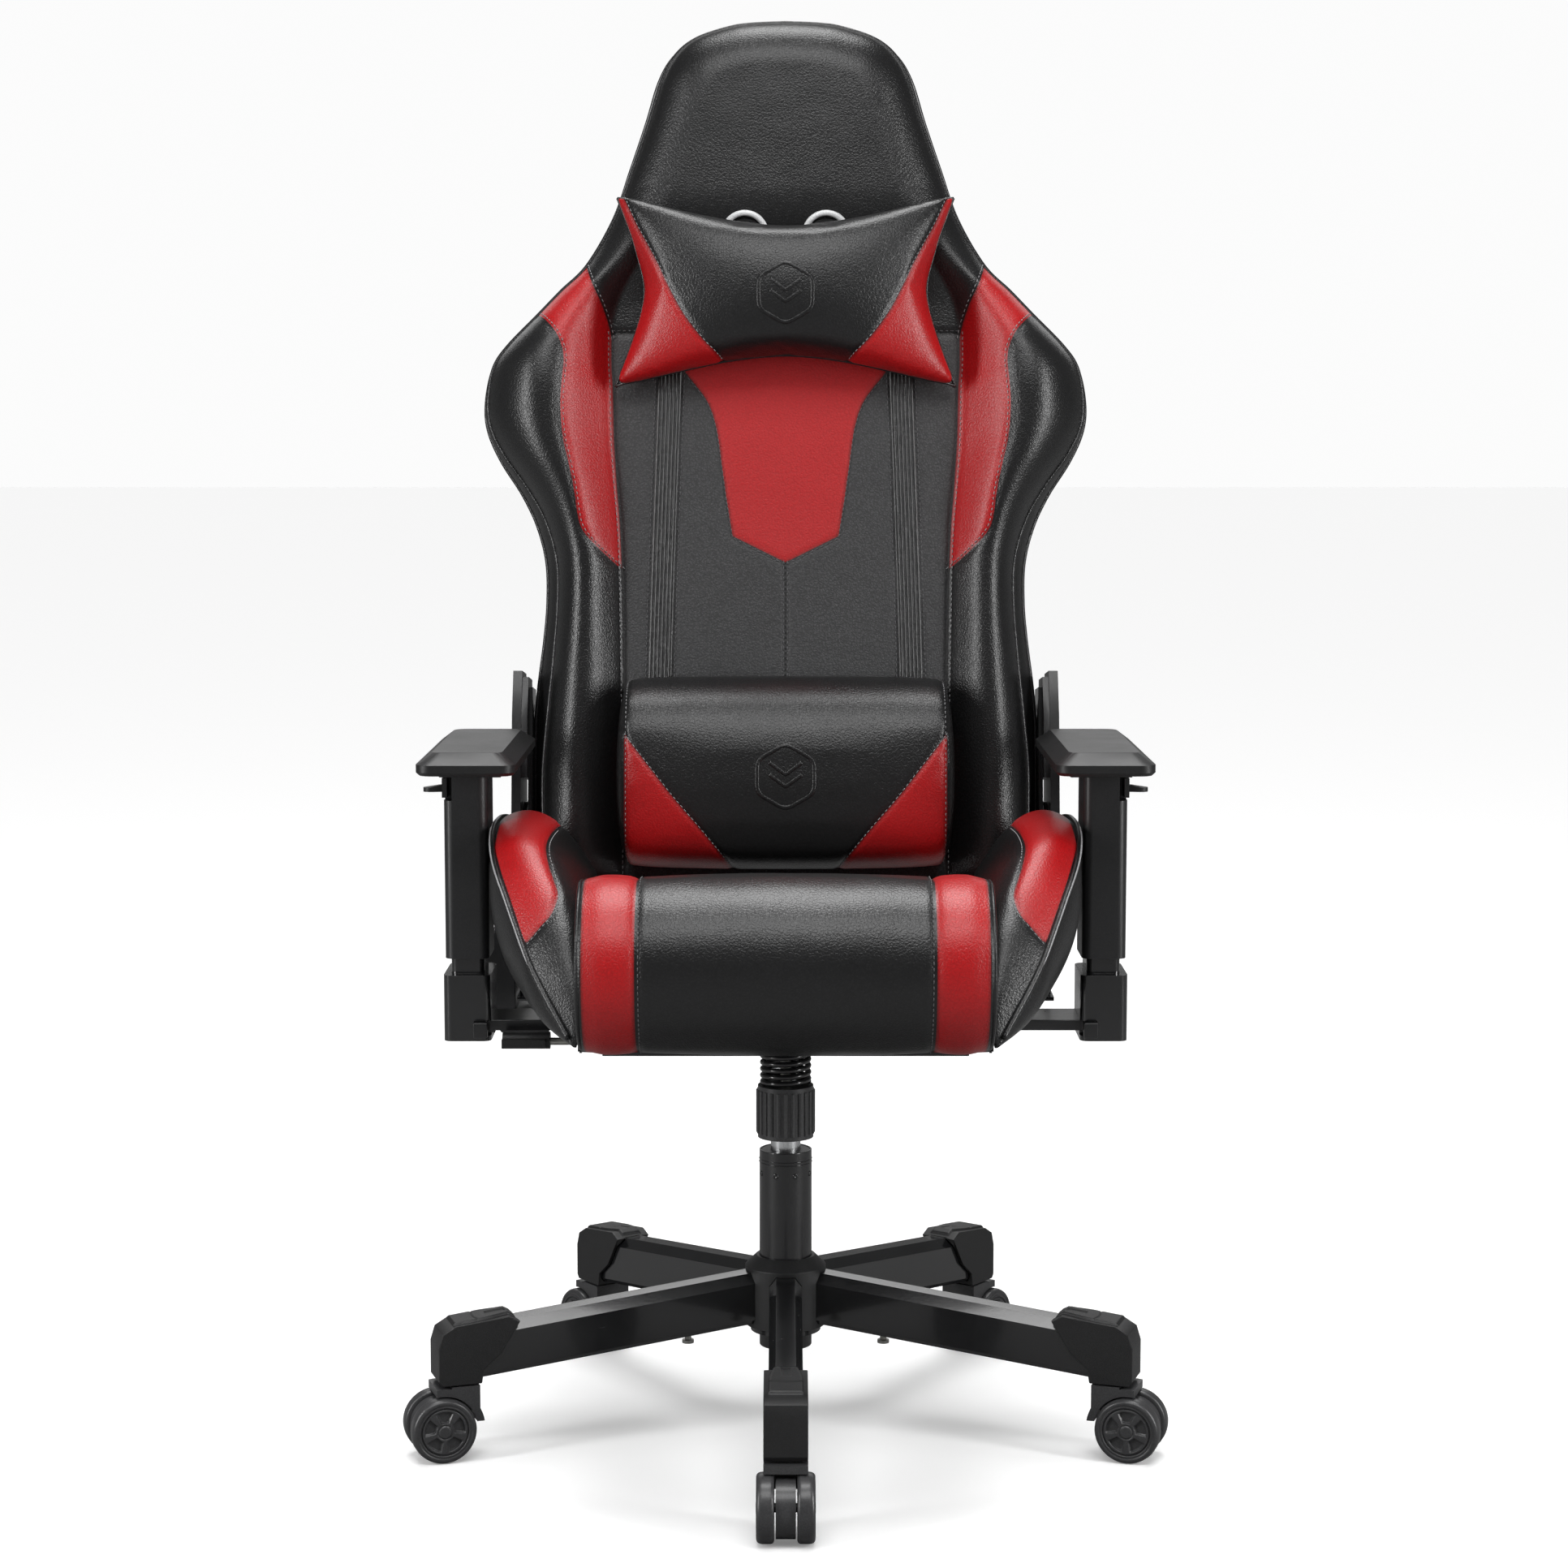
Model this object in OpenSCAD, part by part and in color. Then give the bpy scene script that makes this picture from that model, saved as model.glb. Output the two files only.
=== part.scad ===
// Gaming chair: five-leg base on twin-wheel casters, gas lift, tilt mechanism, bucket seat,
// reclining winged backrest, height-adjustable arms, head and lumbar pillows.
// The sitter faces -Y. The origin is on the floor, on the column's axis.

/* [Base] */
// Radius from the column's axis to the end of a leg cap
leg_reach = 337; // [320:1:345]
// Width of a leg tube
leg_w = 30; // [26:1:34]
// Height of a leg tube
leg_h = 48; // [40:1:50]
// Slope of a leg, in degrees, down from the hub
leg_slope = 6; // [4:0.5:8]

/* [Casters] */
// Diameter of a caster wheel
wheel_d = 60; // [56:1:62]
// Width of one wheel of a pair
wheel_w = 15.5; // [13:0.5:16]
// Gap between the two wheels of a pair
wheel_gap = 19.5; // [19:0.5:22]
// Trail of the wheel axle behind the caster's stem
caster_trail = 20; // [16:1:22]

/* [Gas lift] */
// Outer diameter of the column tube
tube_d = 49; // [46:1:50]
// Height of the column tube's rim above the floor
tube_top = 265; // [255:1:268]
// Diameter of the pressure cylinder
cylinder_d = 28; // [28:1:28]

/* [Seat] */
// Half the width of the seat cushion between the bolsters
seat_half_w = 181; // [170:1:181]
// Radius of the seat's front roll
roll_r = 77; // [70:1:77]
// Height of the top of the front roll
seat_top = 550; // [545:1:551]
// Height of the seat's surface in front of the lumbar pillow
seat_rear_top = 500; // [490:1:504]

/* [Backrest] */
// Recline of the backrest at rest, in degrees from upright
back_lean = 8; // [4:0.5:10]
// Length of the backrest above the hinge
back_len = 813; // [780:1:820]
// Thickness of the backrest's foam in its middle panel
foam_t = 46; // [40:1:50]

/* [Arms] */
// Distance of an arm post from the middle of the chair
arm_x = 296.5; // [296:0.5:300]
// Length of an arm pad
pad_len = 260; // [220:1:280]
// Width of an arm pad
pad_w = 90; // [80:1:95]
// Height of the top of an arm pad
pad_top = 647; // [640:1:650]

/* [Hidden] */

$fn = 48;
gap = 0.05;
soft_gap = 0.5;

// Base and casters
legs = [for (i = [0 : 4]) 270 + i * 72];
cap_len = 76;
cap_w = 38;
hub_top_z = 150;
hub_r = 33;
cover_r = 38;
cap_bottom_z = 71;
stem_r = leg_reach - 24;
stem_d = 11;
wheel_r = wheel_d / 2;
hood_w = wheel_gap - 2.5;
hood_block_w = 38;
axle_r = 4;
hood_top_z = 69.5;

// Gas lift
tube_bottom = 77;
cyl_r = cylinder_d / 2;
cyl_bottom = 171;
cyl_top = 367;
cyl_bore_r = 12;
rod_r = 5;
pin_r = 2.9;
pin_top = 370;

// Tilt mechanism
mech_bottom = 364;
socket_z = 349;
mech_half_w = 36;
mech_wall = 3;
mech_front = -95;
mech_rear = 70;
tilt_y = 30;
tilt_z = 377;
tilt_pin_r = 4;
plate_bottom = 389;
plate_t = 4;
bolt_y = -74;
lip_z = 380;
lip_y = -48;
knob_r = 27;
knob_z = 293;
knob_h = 48;
spring_top = lip_z - 0.3;
spring_bottom = knob_z + knob_h + 0.3;
lever_z = 372.2;
lever_y = -28;

// Seat
frame_z = plate_bottom + plate_t;
frame_tube = 20;
frame_x = 160;
frame_front = -205;
frame_rear = 119;
roll_y = -198;
roll_z = seat_top - roll_r;
seat_bottom_z = 395;
seat_rear_y = 128;

// Backrest, in its own axes: x across, y to the rear, z up along the back from the hinge
hinge_y = 213;
hinge_z = 530;
back_bottom = -50;
panel_t = 28;
shell_wall = 4;
eyelet_x = 40;
eyelet_u = 591;
eyelet_r = 16;
plate_x = 250;
plate_gap = 1;
recliner_t = 4;

// Arms
sleeve_w = 41;
sleeve_d = 66;
sleeve_bottom = 446;
sleeve_top = 621;
post_w = 31;
post_d = 52;
socket_bottom = 369;
socket_top = 431;
arm_y = 25;
pad_bottom = 627;
pad_x = 287.5;
trigger_z = 606;

BLACK = [0.05, 0.05, 0.055];
DARK = [0.12, 0.12, 0.13];
RED = [0.70, 0.10, 0.11];
STEEL = [0.62, 0.63, 0.65];

module in_back() {
  translate([0, hinge_y, hinge_z]) rotate([-back_lean, 0, 0]) children();
}

module both_sides() {
  children();
  mirror([1, 0, 0]) children();
}

module side(s) {
  if (s > 0) children();
  else mirror([1, 0, 0]) children();
}

// Box given by its lowest and highest corners
module span(a, b) {
  translate(a) cube(b - a);
}

module at_leg(angle) {
  rotate([0, 0, angle]) children();
}

// ---- Base ----

function leg_section(w, h, c) = [
  [-w / 2 + 3, 0], [w / 2 - 3, 0], [w / 2, 4], [w / 2, h - c],
  [w / 2 - c * 0.7, h], [-w / 2 + c * 0.7, h], [-w / 2, h - c], [-w / 2, 4]
];

// Prism along a leg, from radius r0 to r1, whose section is grown by g
module leg_prism(r0, r1, g = 0) {
  slope_drop = tan(leg_slope);
  translate([0, 0, hub_top_z - leg_h - g])
    multmatrix([[1, 0, 0, 0], [0, 1, 0, 0], [-slope_drop, 0, 1, slope_drop * cover_r], [0, 0, 0, 1]])
      translate([r0, 0, 0]) rotate([90, 0, 90])
        linear_extrude(r1 - r0) polygon(leg_section(leg_w + 2 * g, leg_h + 2 * g, 9));
}

module base_star() {
  color(BLACK) difference() {
    union() {
      for (a = legs) at_leg(a) leg_prism(18, leg_reach - 12);
      translate([0, 0, 92]) cylinder(r = hub_r, h = hub_top_z - 92 + 6);
    }
    translate([0, 0, 60]) cylinder(d = tube_d + 2 * gap, h = 140);
    for (a = legs) at_leg(a) translate([stem_r, 0, 60]) cylinder(d = stem_d + 2 * gap, h = 60);
    for (a = legs) at_leg(a) translate([96, 0, 60]) cylinder(r = 3 + gap, h = 60);
  }
}

module hub_cover() {
  color(DARK) difference() {
    union() {
      translate([0, 0, 98]) cylinder(r = cover_r, h = 56);
      translate([0, 0, 154]) cylinder(r1 = cover_r, r2 = tube_d / 2 + 3, h = 10);
    }
    translate([0, 0, 90]) cylinder(r = hub_r + gap, h = hub_top_z - 90 + 6 + gap);
    translate([0, 0, 90]) cylinder(d = tube_d + 4 * gap, h = 90);
    for (a = legs) at_leg(a) leg_prism(hub_r - 12, cover_r + 20, gap);
  }
}

module leg_cap() {
  profile = [
    [leg_reach - cap_len, 126], [leg_reach - 66, 131.5], [leg_reach - 16, 126], [leg_reach - 4, 119],
    [leg_reach, 106], [leg_reach, cap_bottom_z + 4], [leg_reach - 3, cap_bottom_z],
    [leg_reach - 40, cap_bottom_z], [leg_reach - 42, 84], [leg_reach - 58, 97]
  ];
  difference() {
    rotate([90, 0, 0]) linear_extrude(cap_w, center = true) polygon(profile);
    leg_prism(leg_reach - 120, leg_reach - 12 + gap, gap);
    translate([stem_r, 0, 60]) cylinder(d = stem_d + 4 * gap, h = 60);
  }
}

module leg_caps() {
  color(DARK) for (a = legs) at_leg(a) leg_cap();
}

module leg_screws() {
  color(STEEL) for (a = legs) at_leg(a) translate([96, 0, 0]) {
    translate([0, 0, 89.5]) cylinder(r = 3, h = 20);
    translate([0, 0, 86.5]) cylinder(r = 5.5, h = 3);
  }
}

module caster_stems() {
  color(STEEL) for (a = legs) at_leg(a) translate([stem_r, 0, 0]) {
    translate([0, 0, 63.5]) cylinder(d = stem_d - 2, h = 8);
    translate([0, 0, 71.5]) cylinder(d = stem_d, h = 34);
  }
}

// Outline of a hood seen from its side, with u outward from the stem
module hood_outline() {
  difference() {
    union() {
      translate([-14, 36]) square([26, hood_top_z - 36]);
      translate([caster_trail, wheel_r]) circle(r = 38.5);
    }
    translate([caster_trail, wheel_r]) circle(r = wheel_r + 1.5);
    translate([8, 0]) square([100, 56]);
    translate([-50, -20]) square([200, 56]);
    translate([-50, hood_top_z]) square([200, 100]);
    translate([26, 0]) square([100, 100]);
  }
}

module caster_hood(i) {
  color(BLACK) at_leg(legs[i]) difference() {
    union() {
      translate([stem_r, hood_block_w / 2, 0]) rotate([90, 0, 0])
        linear_extrude(hood_block_w) hood_outline();
      translate([stem_r, hood_w / 2, 0]) rotate([90, 0, 0]) linear_extrude(hood_w) {
        translate([caster_trail, wheel_r]) circle(r = wheel_r - 4);
        translate([-8, 38]) square([24, hood_top_z - 38]);
      }
      translate([stem_r + caster_trail, 0, wheel_r]) rotate([90, 0, 0])
        cylinder(r = axle_r, h = wheel_gap + 2 * wheel_w - 6, center = true);
    }
    translate([stem_r, 0, 62]) cylinder(d = stem_d - 2 + 2 * gap, h = 20);
  }
}

module wheel_disc() {
  difference() {
    rotate_extrude($fn = 64) polygon([
      [axle_r + gap, 0], [wheel_r - 2, 0], [wheel_r, 2], [wheel_r, wheel_w - 5],
      [wheel_r - 1.5, wheel_w - 2], [wheel_r - 5, wheel_w], [wheel_r - 6, wheel_w],
      [wheel_r - 7, wheel_w - 1.5], [9, wheel_w - 1.5], [7, wheel_w], [0, wheel_w],
      [0, wheel_w - 2.6], [axle_r + gap, wheel_w - 2.6]
    ]);
    for (k = [0 : 4]) rotate([0, 0, 18 + k * 72]) translate([16, 0, wheel_w - 5])
      cylinder(r = 4, h = 6);
  }
}

module caster_wheels(i) {
  color(DARK) at_leg(legs[i]) translate([stem_r + caster_trail, 0, wheel_r])
    for (s = [-1, 1]) translate([0, s * wheel_gap / 2, 0]) rotate([-90 * s, 0, 0]) wheel_disc();
}

// ---- Gas lift ----

module column_tube() {
  color(BLACK) difference() {
    translate([0, 0, tube_bottom]) cylinder(d = tube_d, h = tube_top - tube_bottom);
    translate([0, 0, tube_bottom + 4]) cylinder(d = tube_d - 4, h = 300);
    translate([0, 0, tube_bottom - 1]) cylinder(r = rod_r - 1 + gap, h = 10);
  }
}

module guide_bush() {
  color(DARK) difference() {
    translate([0, 0, tube_top - 95]) cylinder(d = tube_d - 4, h = 95 - 0.5);
    translate([0, 0, tube_top - 96]) cylinder(r = cyl_r + gap, h = 100);
  }
}

module thrust_bearing() {
  color(STEEL) difference() {
    translate([0, 0, tube_bottom + 4]) cylinder(r = 13, h = 6);
    translate([0, 0, tube_bottom]) cylinder(r = rod_r - 1 + gap, h = 20);
  }
}

module piston_rod() {
  color(STEEL) {
    translate([0, 0, tube_bottom - 3]) cylinder(r = rod_r - 1, h = 13);
    translate([0, 0, tube_bottom + 10]) cylinder(r = rod_r, h = cyl_bottom + 8 - tube_bottom - 10);
    translate([0, 0, cyl_bottom + 7]) cylinder(r = cyl_bore_r - gap, h = 10);
  }
}

module pressure_cylinder() {
  color(STEEL) difference() {
    translate([0, 0, cyl_bottom]) cylinder(r = cyl_r, h = cyl_top - cyl_bottom);
    translate([0, 0, cyl_bottom + 6]) cylinder(r = cyl_bore_r, h = 170);
    translate([0, 0, cyl_bottom - 1]) cylinder(r = rod_r + gap, h = 20);
    translate([0, 0, cyl_bottom]) cylinder(r = pin_r + gap, h = 300);
  }
}

module valve_pin() {
  color(STEEL) translate([0, 0, pin_top - 28]) cylinder(r = pin_r, h = 28);
}

// ---- Tilt mechanism ----

module mechanism_base() {
  wall_x = mech_half_w - mech_wall;
  color(BLACK) difference() {
    union() {
      span([-mech_half_w, lip_y, mech_bottom], [mech_half_w, mech_rear, mech_bottom + mech_wall]);
      span([-mech_half_w, lip_y, mech_bottom], [mech_half_w, lip_y + mech_wall, lip_z + mech_wall]);
      span([-mech_half_w, mech_front, lip_z], [mech_half_w, lip_y + 1, lip_z + mech_wall]);
      both_sides() span([wall_x, lip_y, mech_bottom], [mech_half_w, mech_rear, lip_z]);
      span([-mech_half_w, mech_rear - mech_wall, mech_bottom], [mech_half_w, mech_rear, 378]);
      translate([0, 0, socket_z]) cylinder(r = 20, h = mech_bottom - socket_z + 1);
      both_sides() translate([wall_x, tilt_y, tilt_z]) rotate([0, 90, 0]) cylinder(r = 9, h = mech_wall);
    }
    translate([0, 0, socket_z - 10]) cylinder(r = cyl_r, h = 60);
    translate([0, bolt_y, lip_z - 1]) cylinder(r = 11, h = 5);
    translate([-50, tilt_y, tilt_z]) rotate([0, 90, 0]) cylinder(r = tilt_pin_r, h = 100);
    span([-50, lever_y - 12, lever_z - 5], [-wall_x + 1, lever_y + 12, 390]);
  }
}

module tilt_pivot_pin() {
  color(STEEL) translate([-mech_half_w - 3, tilt_y, tilt_z]) rotate([0, 90, 0]) {
    cylinder(r = tilt_pin_r, h = 2 * mech_half_w + 6);
    cylinder(r = 6.5, h = 3);
  }
}

module tension_spring() {
  turns = 5;
  pitch = (spring_top - spring_bottom) / turns;
  wire = pitch * 0.46;
  color(BLACK) difference() {
    union() {
      translate([0, bolt_y, spring_bottom]) cylinder(r = 21.5, h = spring_top - spring_bottom);
      for (k = [0 : turns - 1]) translate([0, bolt_y, spring_bottom + (k + 0.5) * pitch])
        rotate_extrude($fn = 40) translate([21.5, 0]) circle(r = wire, $fn = 16);
    }
    translate([0, bolt_y, spring_bottom - 5]) cylinder(r = 17, h = 60);
  }
}

module tension_bolt() {
  color(STEEL) {
    translate([0, bolt_y, knob_z + 12]) cylinder(r = 5, h = plate_bottom - knob_z - 12);
    translate([0, bolt_y, plate_bottom - 6]) cylinder(r = 8, h = 6);
  }
}

module tension_knob() {
  ribs = 24;
  color(DARK) difference() {
    union() {
      translate([0, bolt_y, knob_z]) cylinder(r = knob_r - 1.6, h = knob_h);
      for (k = [0 : ribs - 1]) translate([0, bolt_y, knob_z + 4]) rotate([0, 0, k * 360 / ribs])
        translate([knob_r - 2, 0, 0]) cylinder(r = 2, h = knob_h - 8, $fn = 8);
    }
    translate([0, bolt_y, knob_z + 10]) cylinder(r = 5 + gap, h = 60);
  }
}

module mechanism_plate() {
  ear_x = mech_half_w - mech_wall - 0.6;
  color(BLACK) difference() {
    union() {
      span([-75, -95, plate_bottom], [75, 95, plate_bottom + plate_t]);
      both_sides() span([ear_x - 4, tilt_y - 9, tilt_z], [ear_x, tilt_y + 9, plate_bottom + 1]);
      both_sides() translate([ear_x - 4, tilt_y, tilt_z]) rotate([0, 90, 0]) cylinder(r = 9, h = 4);
    }
    translate([-50, tilt_y, tilt_z]) rotate([0, 90, 0]) cylinder(r = tilt_pin_r + gap, h = 100);
    for (x = [-60, 60], y = [-75, 75]) translate([x, y, plate_bottom - 1]) cylinder(r = 4.25, h = 6);
  }
}

module lift_lever() {
  color(STEEL) {
    translate([0, 0, pin_top + 0.5]) linear_extrude(3) polygon([
      [-6, -5], [4, -5], [4, 5], [-8, 5], [-26, lever_y + 10], [-26, lever_y - 12], [-14, lever_y - 10]
    ]);
    translate([-228, lever_y, lever_z]) rotate([0, 90, 0]) cylinder(r = 3.5, h = 208);
  }
}

module lift_lever_grip() {
  color(BLACK) difference() {
    union() {
      translate([-262, lever_y, lever_z + 1]) rotate([0, 90, 0]) cylinder(r = 8, h = 44);
      span([-262, lever_y - 16, lever_z - 4], [-222, lever_y + 15, lever_z + 4]);
    }
    translate([-229, lever_y, lever_z]) rotate([0, 90, 0]) cylinder(r = 3.5, h = 30);
  }
}

// ---- Seat ----

module seat_frame() {
  t = frame_tube;
  color(BLACK) difference() {
    union() {
      both_sides() span([frame_x - t, frame_front, frame_z], [frame_x, frame_rear, frame_z + t]);
      for (y = [frame_front, -85, 65, frame_rear - t])
        span([-frame_x, y, frame_z], [frame_x, y + t, frame_z + t]);
    }
    for (x = [-60, 60], y = [-75, 75]) translate([x, y, frame_z - 1]) cylinder(r = 4.25, h = 12);
  }
}

module seat_webbing() {
  color(DARK) for (y = [-165, -125, -50, -10, 30])
    span([-frame_x, y, frame_z + frame_tube], [frame_x, y + 28, frame_z + frame_tube + 2]);
}

module seat_profile() {
  difference() {
    union() {
      translate([roll_y, roll_z]) circle(r = roll_r);
      polygon([
        [roll_y, seat_bottom_z + 2], [seat_rear_y, seat_bottom_z], [seat_rear_y, seat_rear_top - 14],
        [seat_rear_y - 14, seat_rear_top], [20, seat_rear_top], [-90, seat_rear_top + 14],
        [roll_y + 22, seat_top - 4]
      ]);
    }
    translate([frame_front - 2, 0]) square([frame_rear - frame_front + 4, frame_z + frame_tube + 2]);
  }
}

module seat_skirt(x0, x1) {
  span([x0, frame_front - 2, seat_bottom_z], [x1, seat_rear_y, frame_z + frame_tube + 2]);
}

module seat_cushion() {
  color(RED) {
    translate([-seat_half_w, 0, 0]) rotate([90, 0, 90]) linear_extrude(2 * seat_half_w) seat_profile();
    both_sides() seat_skirt(frame_x + 1, seat_half_w);
  }
}

module bolster_blob(p, r) {
  translate(p) sphere(r = r, $fn = 28);
}

module seat_bolster(s) {
  color(BLACK) side(s) intersection() {
    hull() {
      bolster_blob([238, 90, 528], 34);
      bolster_blob([238, -70, 542], 34);
      bolster_blob([216, 90, 440], 38);
      bolster_blob([222, -70, 448], 40);
      bolster_blob([200, -165, 445], 42);
      bolster_blob([172, -195, 420], 22);
      bolster_blob([196, 92, 424], 24);
    }
    span([seat_half_w + soft_gap, -260, 398], [270, seat_rear_y, 600]);
  }
}

module frame_bolts() {
  color(STEEL) {
    for (x = [-60, 60], y = [-75, 75]) translate([x, y, 0]) {
      translate([0, 0, plate_bottom - 5]) cylinder(r = 6.5, h = 5);
      translate([0, 0, plate_bottom]) cylinder(r = 4, h = 14);
    }
    both_sides() for (y = [-17, 17]) translate([168, arm_y + y, 0]) {
      translate([0, 0, 382]) cylinder(r = 6.5, h = 5);
    }
    both_sides() for (y = [150, 182]) translate([plate_x + recliner_t + plate_gap - 5, y, 412])
      rotate([0, 90, 0]) cylinder(r = 6, h = 5);
  }
}

// ---- Recliner ----

module recliner_lower(s) {
  x0 = plate_x + recliner_t + plate_gap;
  color(BLACK) side(s) difference() {
    union() {
      translate([x0, 0, 0]) rotate([90, 0, 90]) linear_extrude(recliner_t) union() {
        polygon([[134, 387], [194, 387], [246, 510], [hinge_y, hinge_z + 30], [180, 510]]);
        translate([hinge_y, hinge_z]) circle(r = 38);
      }
      span([145, 100, 387], [x0 + recliner_t, 188, 391]);
    }
    translate([x0 - 5, hinge_y, hinge_z]) rotate([0, 90, 0]) cylinder(r = 8 + gap, h = 20);
    for (y = [150, 182]) translate([x0 - 5, y, 412]) rotate([0, 90, 0]) cylinder(r = 4.25, h = 20);
  }
}

module recliner_upper(s) {
  color(STEEL) side(s) difference() {
    union() {
      in_back() translate([plate_x, 0, 0]) rotate([90, 0, 90]) linear_extrude(recliner_t) union() {
        circle(r = 34);
        polygon([[-30, 0], [30, 0], [24, 150], [-20, 150]]);
      }
      translate([plate_x, hinge_y, hinge_z]) rotate([0, 90, 0])
        cylinder(r = 8, h = 2 * recliner_t + plate_gap + 0.5);
    }
    in_back() for (u = [70, 130]) translate([plate_x - 5, 0, u]) rotate([0, 90, 0]) cylinder(r = 4.25, h = 20);
  }
}

module recliner_cover(s) {
  x0 = plate_x + 2 * recliner_t + plate_gap + 1;
  outer = 269;
  color(DARK) side(s) in_back() {
    difference() {
      union() {
        translate([x0, 0, 0]) rotate([90, 0, 90]) linear_extrude(outer - x0) union() {
          circle(r = 46);
          polygon([[-46, 0], [46, 0], [40, 110], [28, 166], [-24, 166], [-40, 120]]);
        }
        translate([plate_x + recliner_t, 0, 0]) rotate([90, 0, 90]) linear_extrude(x0 - plate_x)
          polygon([[-40, 60], [40, 60], [38, 110], [26, 160], [-22, 160], [-38, 120]]);
      }
      translate([0, -100, 104]) rotate([0, -18, 0]) translate([outer + 31, 0, -10]) cube([60, 200, 120]);
    }
  }
}

module recliner_housing() {
  color(DARK) mirror([1, 0, 0]) difference() {
    rotate([90, 0, 0]) translate([0, 0, -206]) linear_extrude(86)
      polygon([[226, 352], [276, 352], [284, 362], [289, 380], [289, 425], [281, 462], [264, 476], [226, 420]]);
    span([200, 100, 374], [262, 220, 500]);
    span([200, 100, 340], [230, 220, 400]);
  }
}

module recline_handle() {
  color(BLACK) mirror([1, 0, 0]) {
    translate([270, hinge_y, hinge_z]) rotate([0, 90, 0]) cylinder(r = 24, h = 13);
    translate([272, hinge_y, hinge_z]) rotate([0, 90, 0]) linear_extrude(10)
      polygon([[-8, -118], [0, -122], [9, -118], [13, -20], [13, 0], [-13, 0], [-13, -20]]);
  }
}

// ---- Backrest ----

// Half outline of the backrest: headrest crown, neck, wing and lower side
half_outline = [
  [0, back_len], [58, back_len - 5], [91, back_len - 16], [112, back_len - 32], [126, back_len - 57],
  [138, back_len - 97], [154, 668], [171, 619], [199, 570], [247, 521], [278, 489], [292, 466],
  [298, 432], [295, 405], [282, 376], [261, 343], [246, 311], [237, 275], [236, 235], [239, 198],
  [245, 150], [248, 110], [248, back_bottom + 20], [236, back_bottom]
];
full_outline = concat(
  half_outline,
  [for (i = [len(half_outline) - 1 : -1 : 1]) [-half_outline[i][0], half_outline[i][1]]]
);

// Slab of the backrest's outline, from depth d0 to d1, drawn in by inset
module back_slab(d0, d1, inset = 0) {
  translate([0, d1, 0]) rotate([90, 0, 0]) linear_extrude(d1 - d0)
    offset(delta = -inset) polygon(full_outline);
}

module eyelet_holes(r, d0, d1) {
  both_sides() translate([eyelet_x, d1, eyelet_u]) rotate([90, 0, 0]) cylinder(r = r, h = d1 - d0);
}

module wing() {
  intersection() {
    hull() {
      translate([252, -52, 440]) sphere(r = 40, $fn = 28);
      translate([212, -48, 500]) sphere(r = 34, $fn = 28);
      translate([214, -52, 330]) sphere(r = 36, $fn = 28);
    }
    span([172, -110, 200], [297, -foam_t + 1, 600]);
  }
}

module low_side() {
  intersection() {
    hull() {
      translate([207, -45, 330]) sphere(r = 30, $fn = 28);
      translate([204, -45, 200]) sphere(r = 28, $fn = 28);
      translate([212, -40, 0]) sphere(r = 26, $fn = 28);
    }
    span([168, -80, back_bottom + 2], [238, -foam_t + 1, 400]);
  }
}

module back_cushion() {
  color(BLACK) in_back() difference() {
    union() {
      back_slab(-foam_t, 0);
      both_sides() wing();
      both_sides() low_side();
    }
    eyelet_holes(eyelet_r + 3, -80, 10);
  }
}

module back_rear_panel() {
  color(BLACK) in_back() difference() {
    back_slab(0, panel_t, 2);
    difference() {
      back_slab(-1, panel_t - shell_wall, 2 + shell_wall);
      eyelet_holes(eyelet_r + 6, -2, panel_t);
    }
    eyelet_holes(eyelet_r + 3, -2, panel_t + 2);
  }
}

module back_frame() {
  t = 18;
  color(STEEL) in_back() {
    both_sides() span([205, 0.5, -36], [205 + t, 0.5 + t, 320]);
    both_sides() span([118, 0.5, 302], [205, 0.5 + t, 320]);
    both_sides() span([100, 0.5, 302], [118, 0.5 + t, 700]);
    span([-118, 0.5, 700], [118, 0.5 + t, 700 + t]);
    for (u = [-36, 150, 302]) span([-205, 0.5, u], [205, 0.5 + t, u + t]);
  }
}

module eyelet_rings() {
  module ring(d0, d1) {
    both_sides() difference() {
      union() {
        translate([eyelet_x, d1, eyelet_u]) rotate([90, 0, 0]) cylinder(r = eyelet_r + 3 - gap, h = d1 - d0);
        translate([eyelet_x, min(d0, d1) , eyelet_u]) rotate([90, 0, 0]) cylinder(r = 23, h = 3);
      }
      translate([eyelet_x, d1 + 5, eyelet_u]) rotate([90, 0, 0]) cylinder(r = eyelet_r, h = 120);
    }
  }
  color(STEEL) in_back() {
    ring(-foam_t, -8);
    translate([0, panel_t, 0]) mirror([0, 1, 0]) ring(0, 18);
  }
}

// The head pillow's strap through the two holes, and the lumbar pillow's strap across the rear
module pillow_straps() {
  strap_t = 1.6;
  head_u = eyelet_u - 14;
  color(BLACK) in_back() {
    both_sides() span([eyelet_x - 7, -foam_t - 3.4, head_u], [eyelet_x + 7, panel_t + 3.5, head_u + strap_t]);
    span([-eyelet_x - 7, panel_t + 3.5, head_u - 10], [eyelet_x + 7, panel_t + 5, head_u + 12]);
    span([-225, panel_t, 56], [225, panel_t + strap_t, 84]);
  }
}

module head_pillow() {
  color(BLACK) in_back() intersection() {
    hull() {
      both_sides() translate([145, -62, 603]) sphere(r = 14, $fn = 28);
      both_sides() translate([142, -62, 458]) sphere(r = 14, $fn = 28);
      both_sides() translate([70, -92, 530]) sphere(r = 40, $fn = 32);
    }
    span([-170, -140, 420], [170, -foam_t - 3.5, 640]);
  }
}

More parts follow.
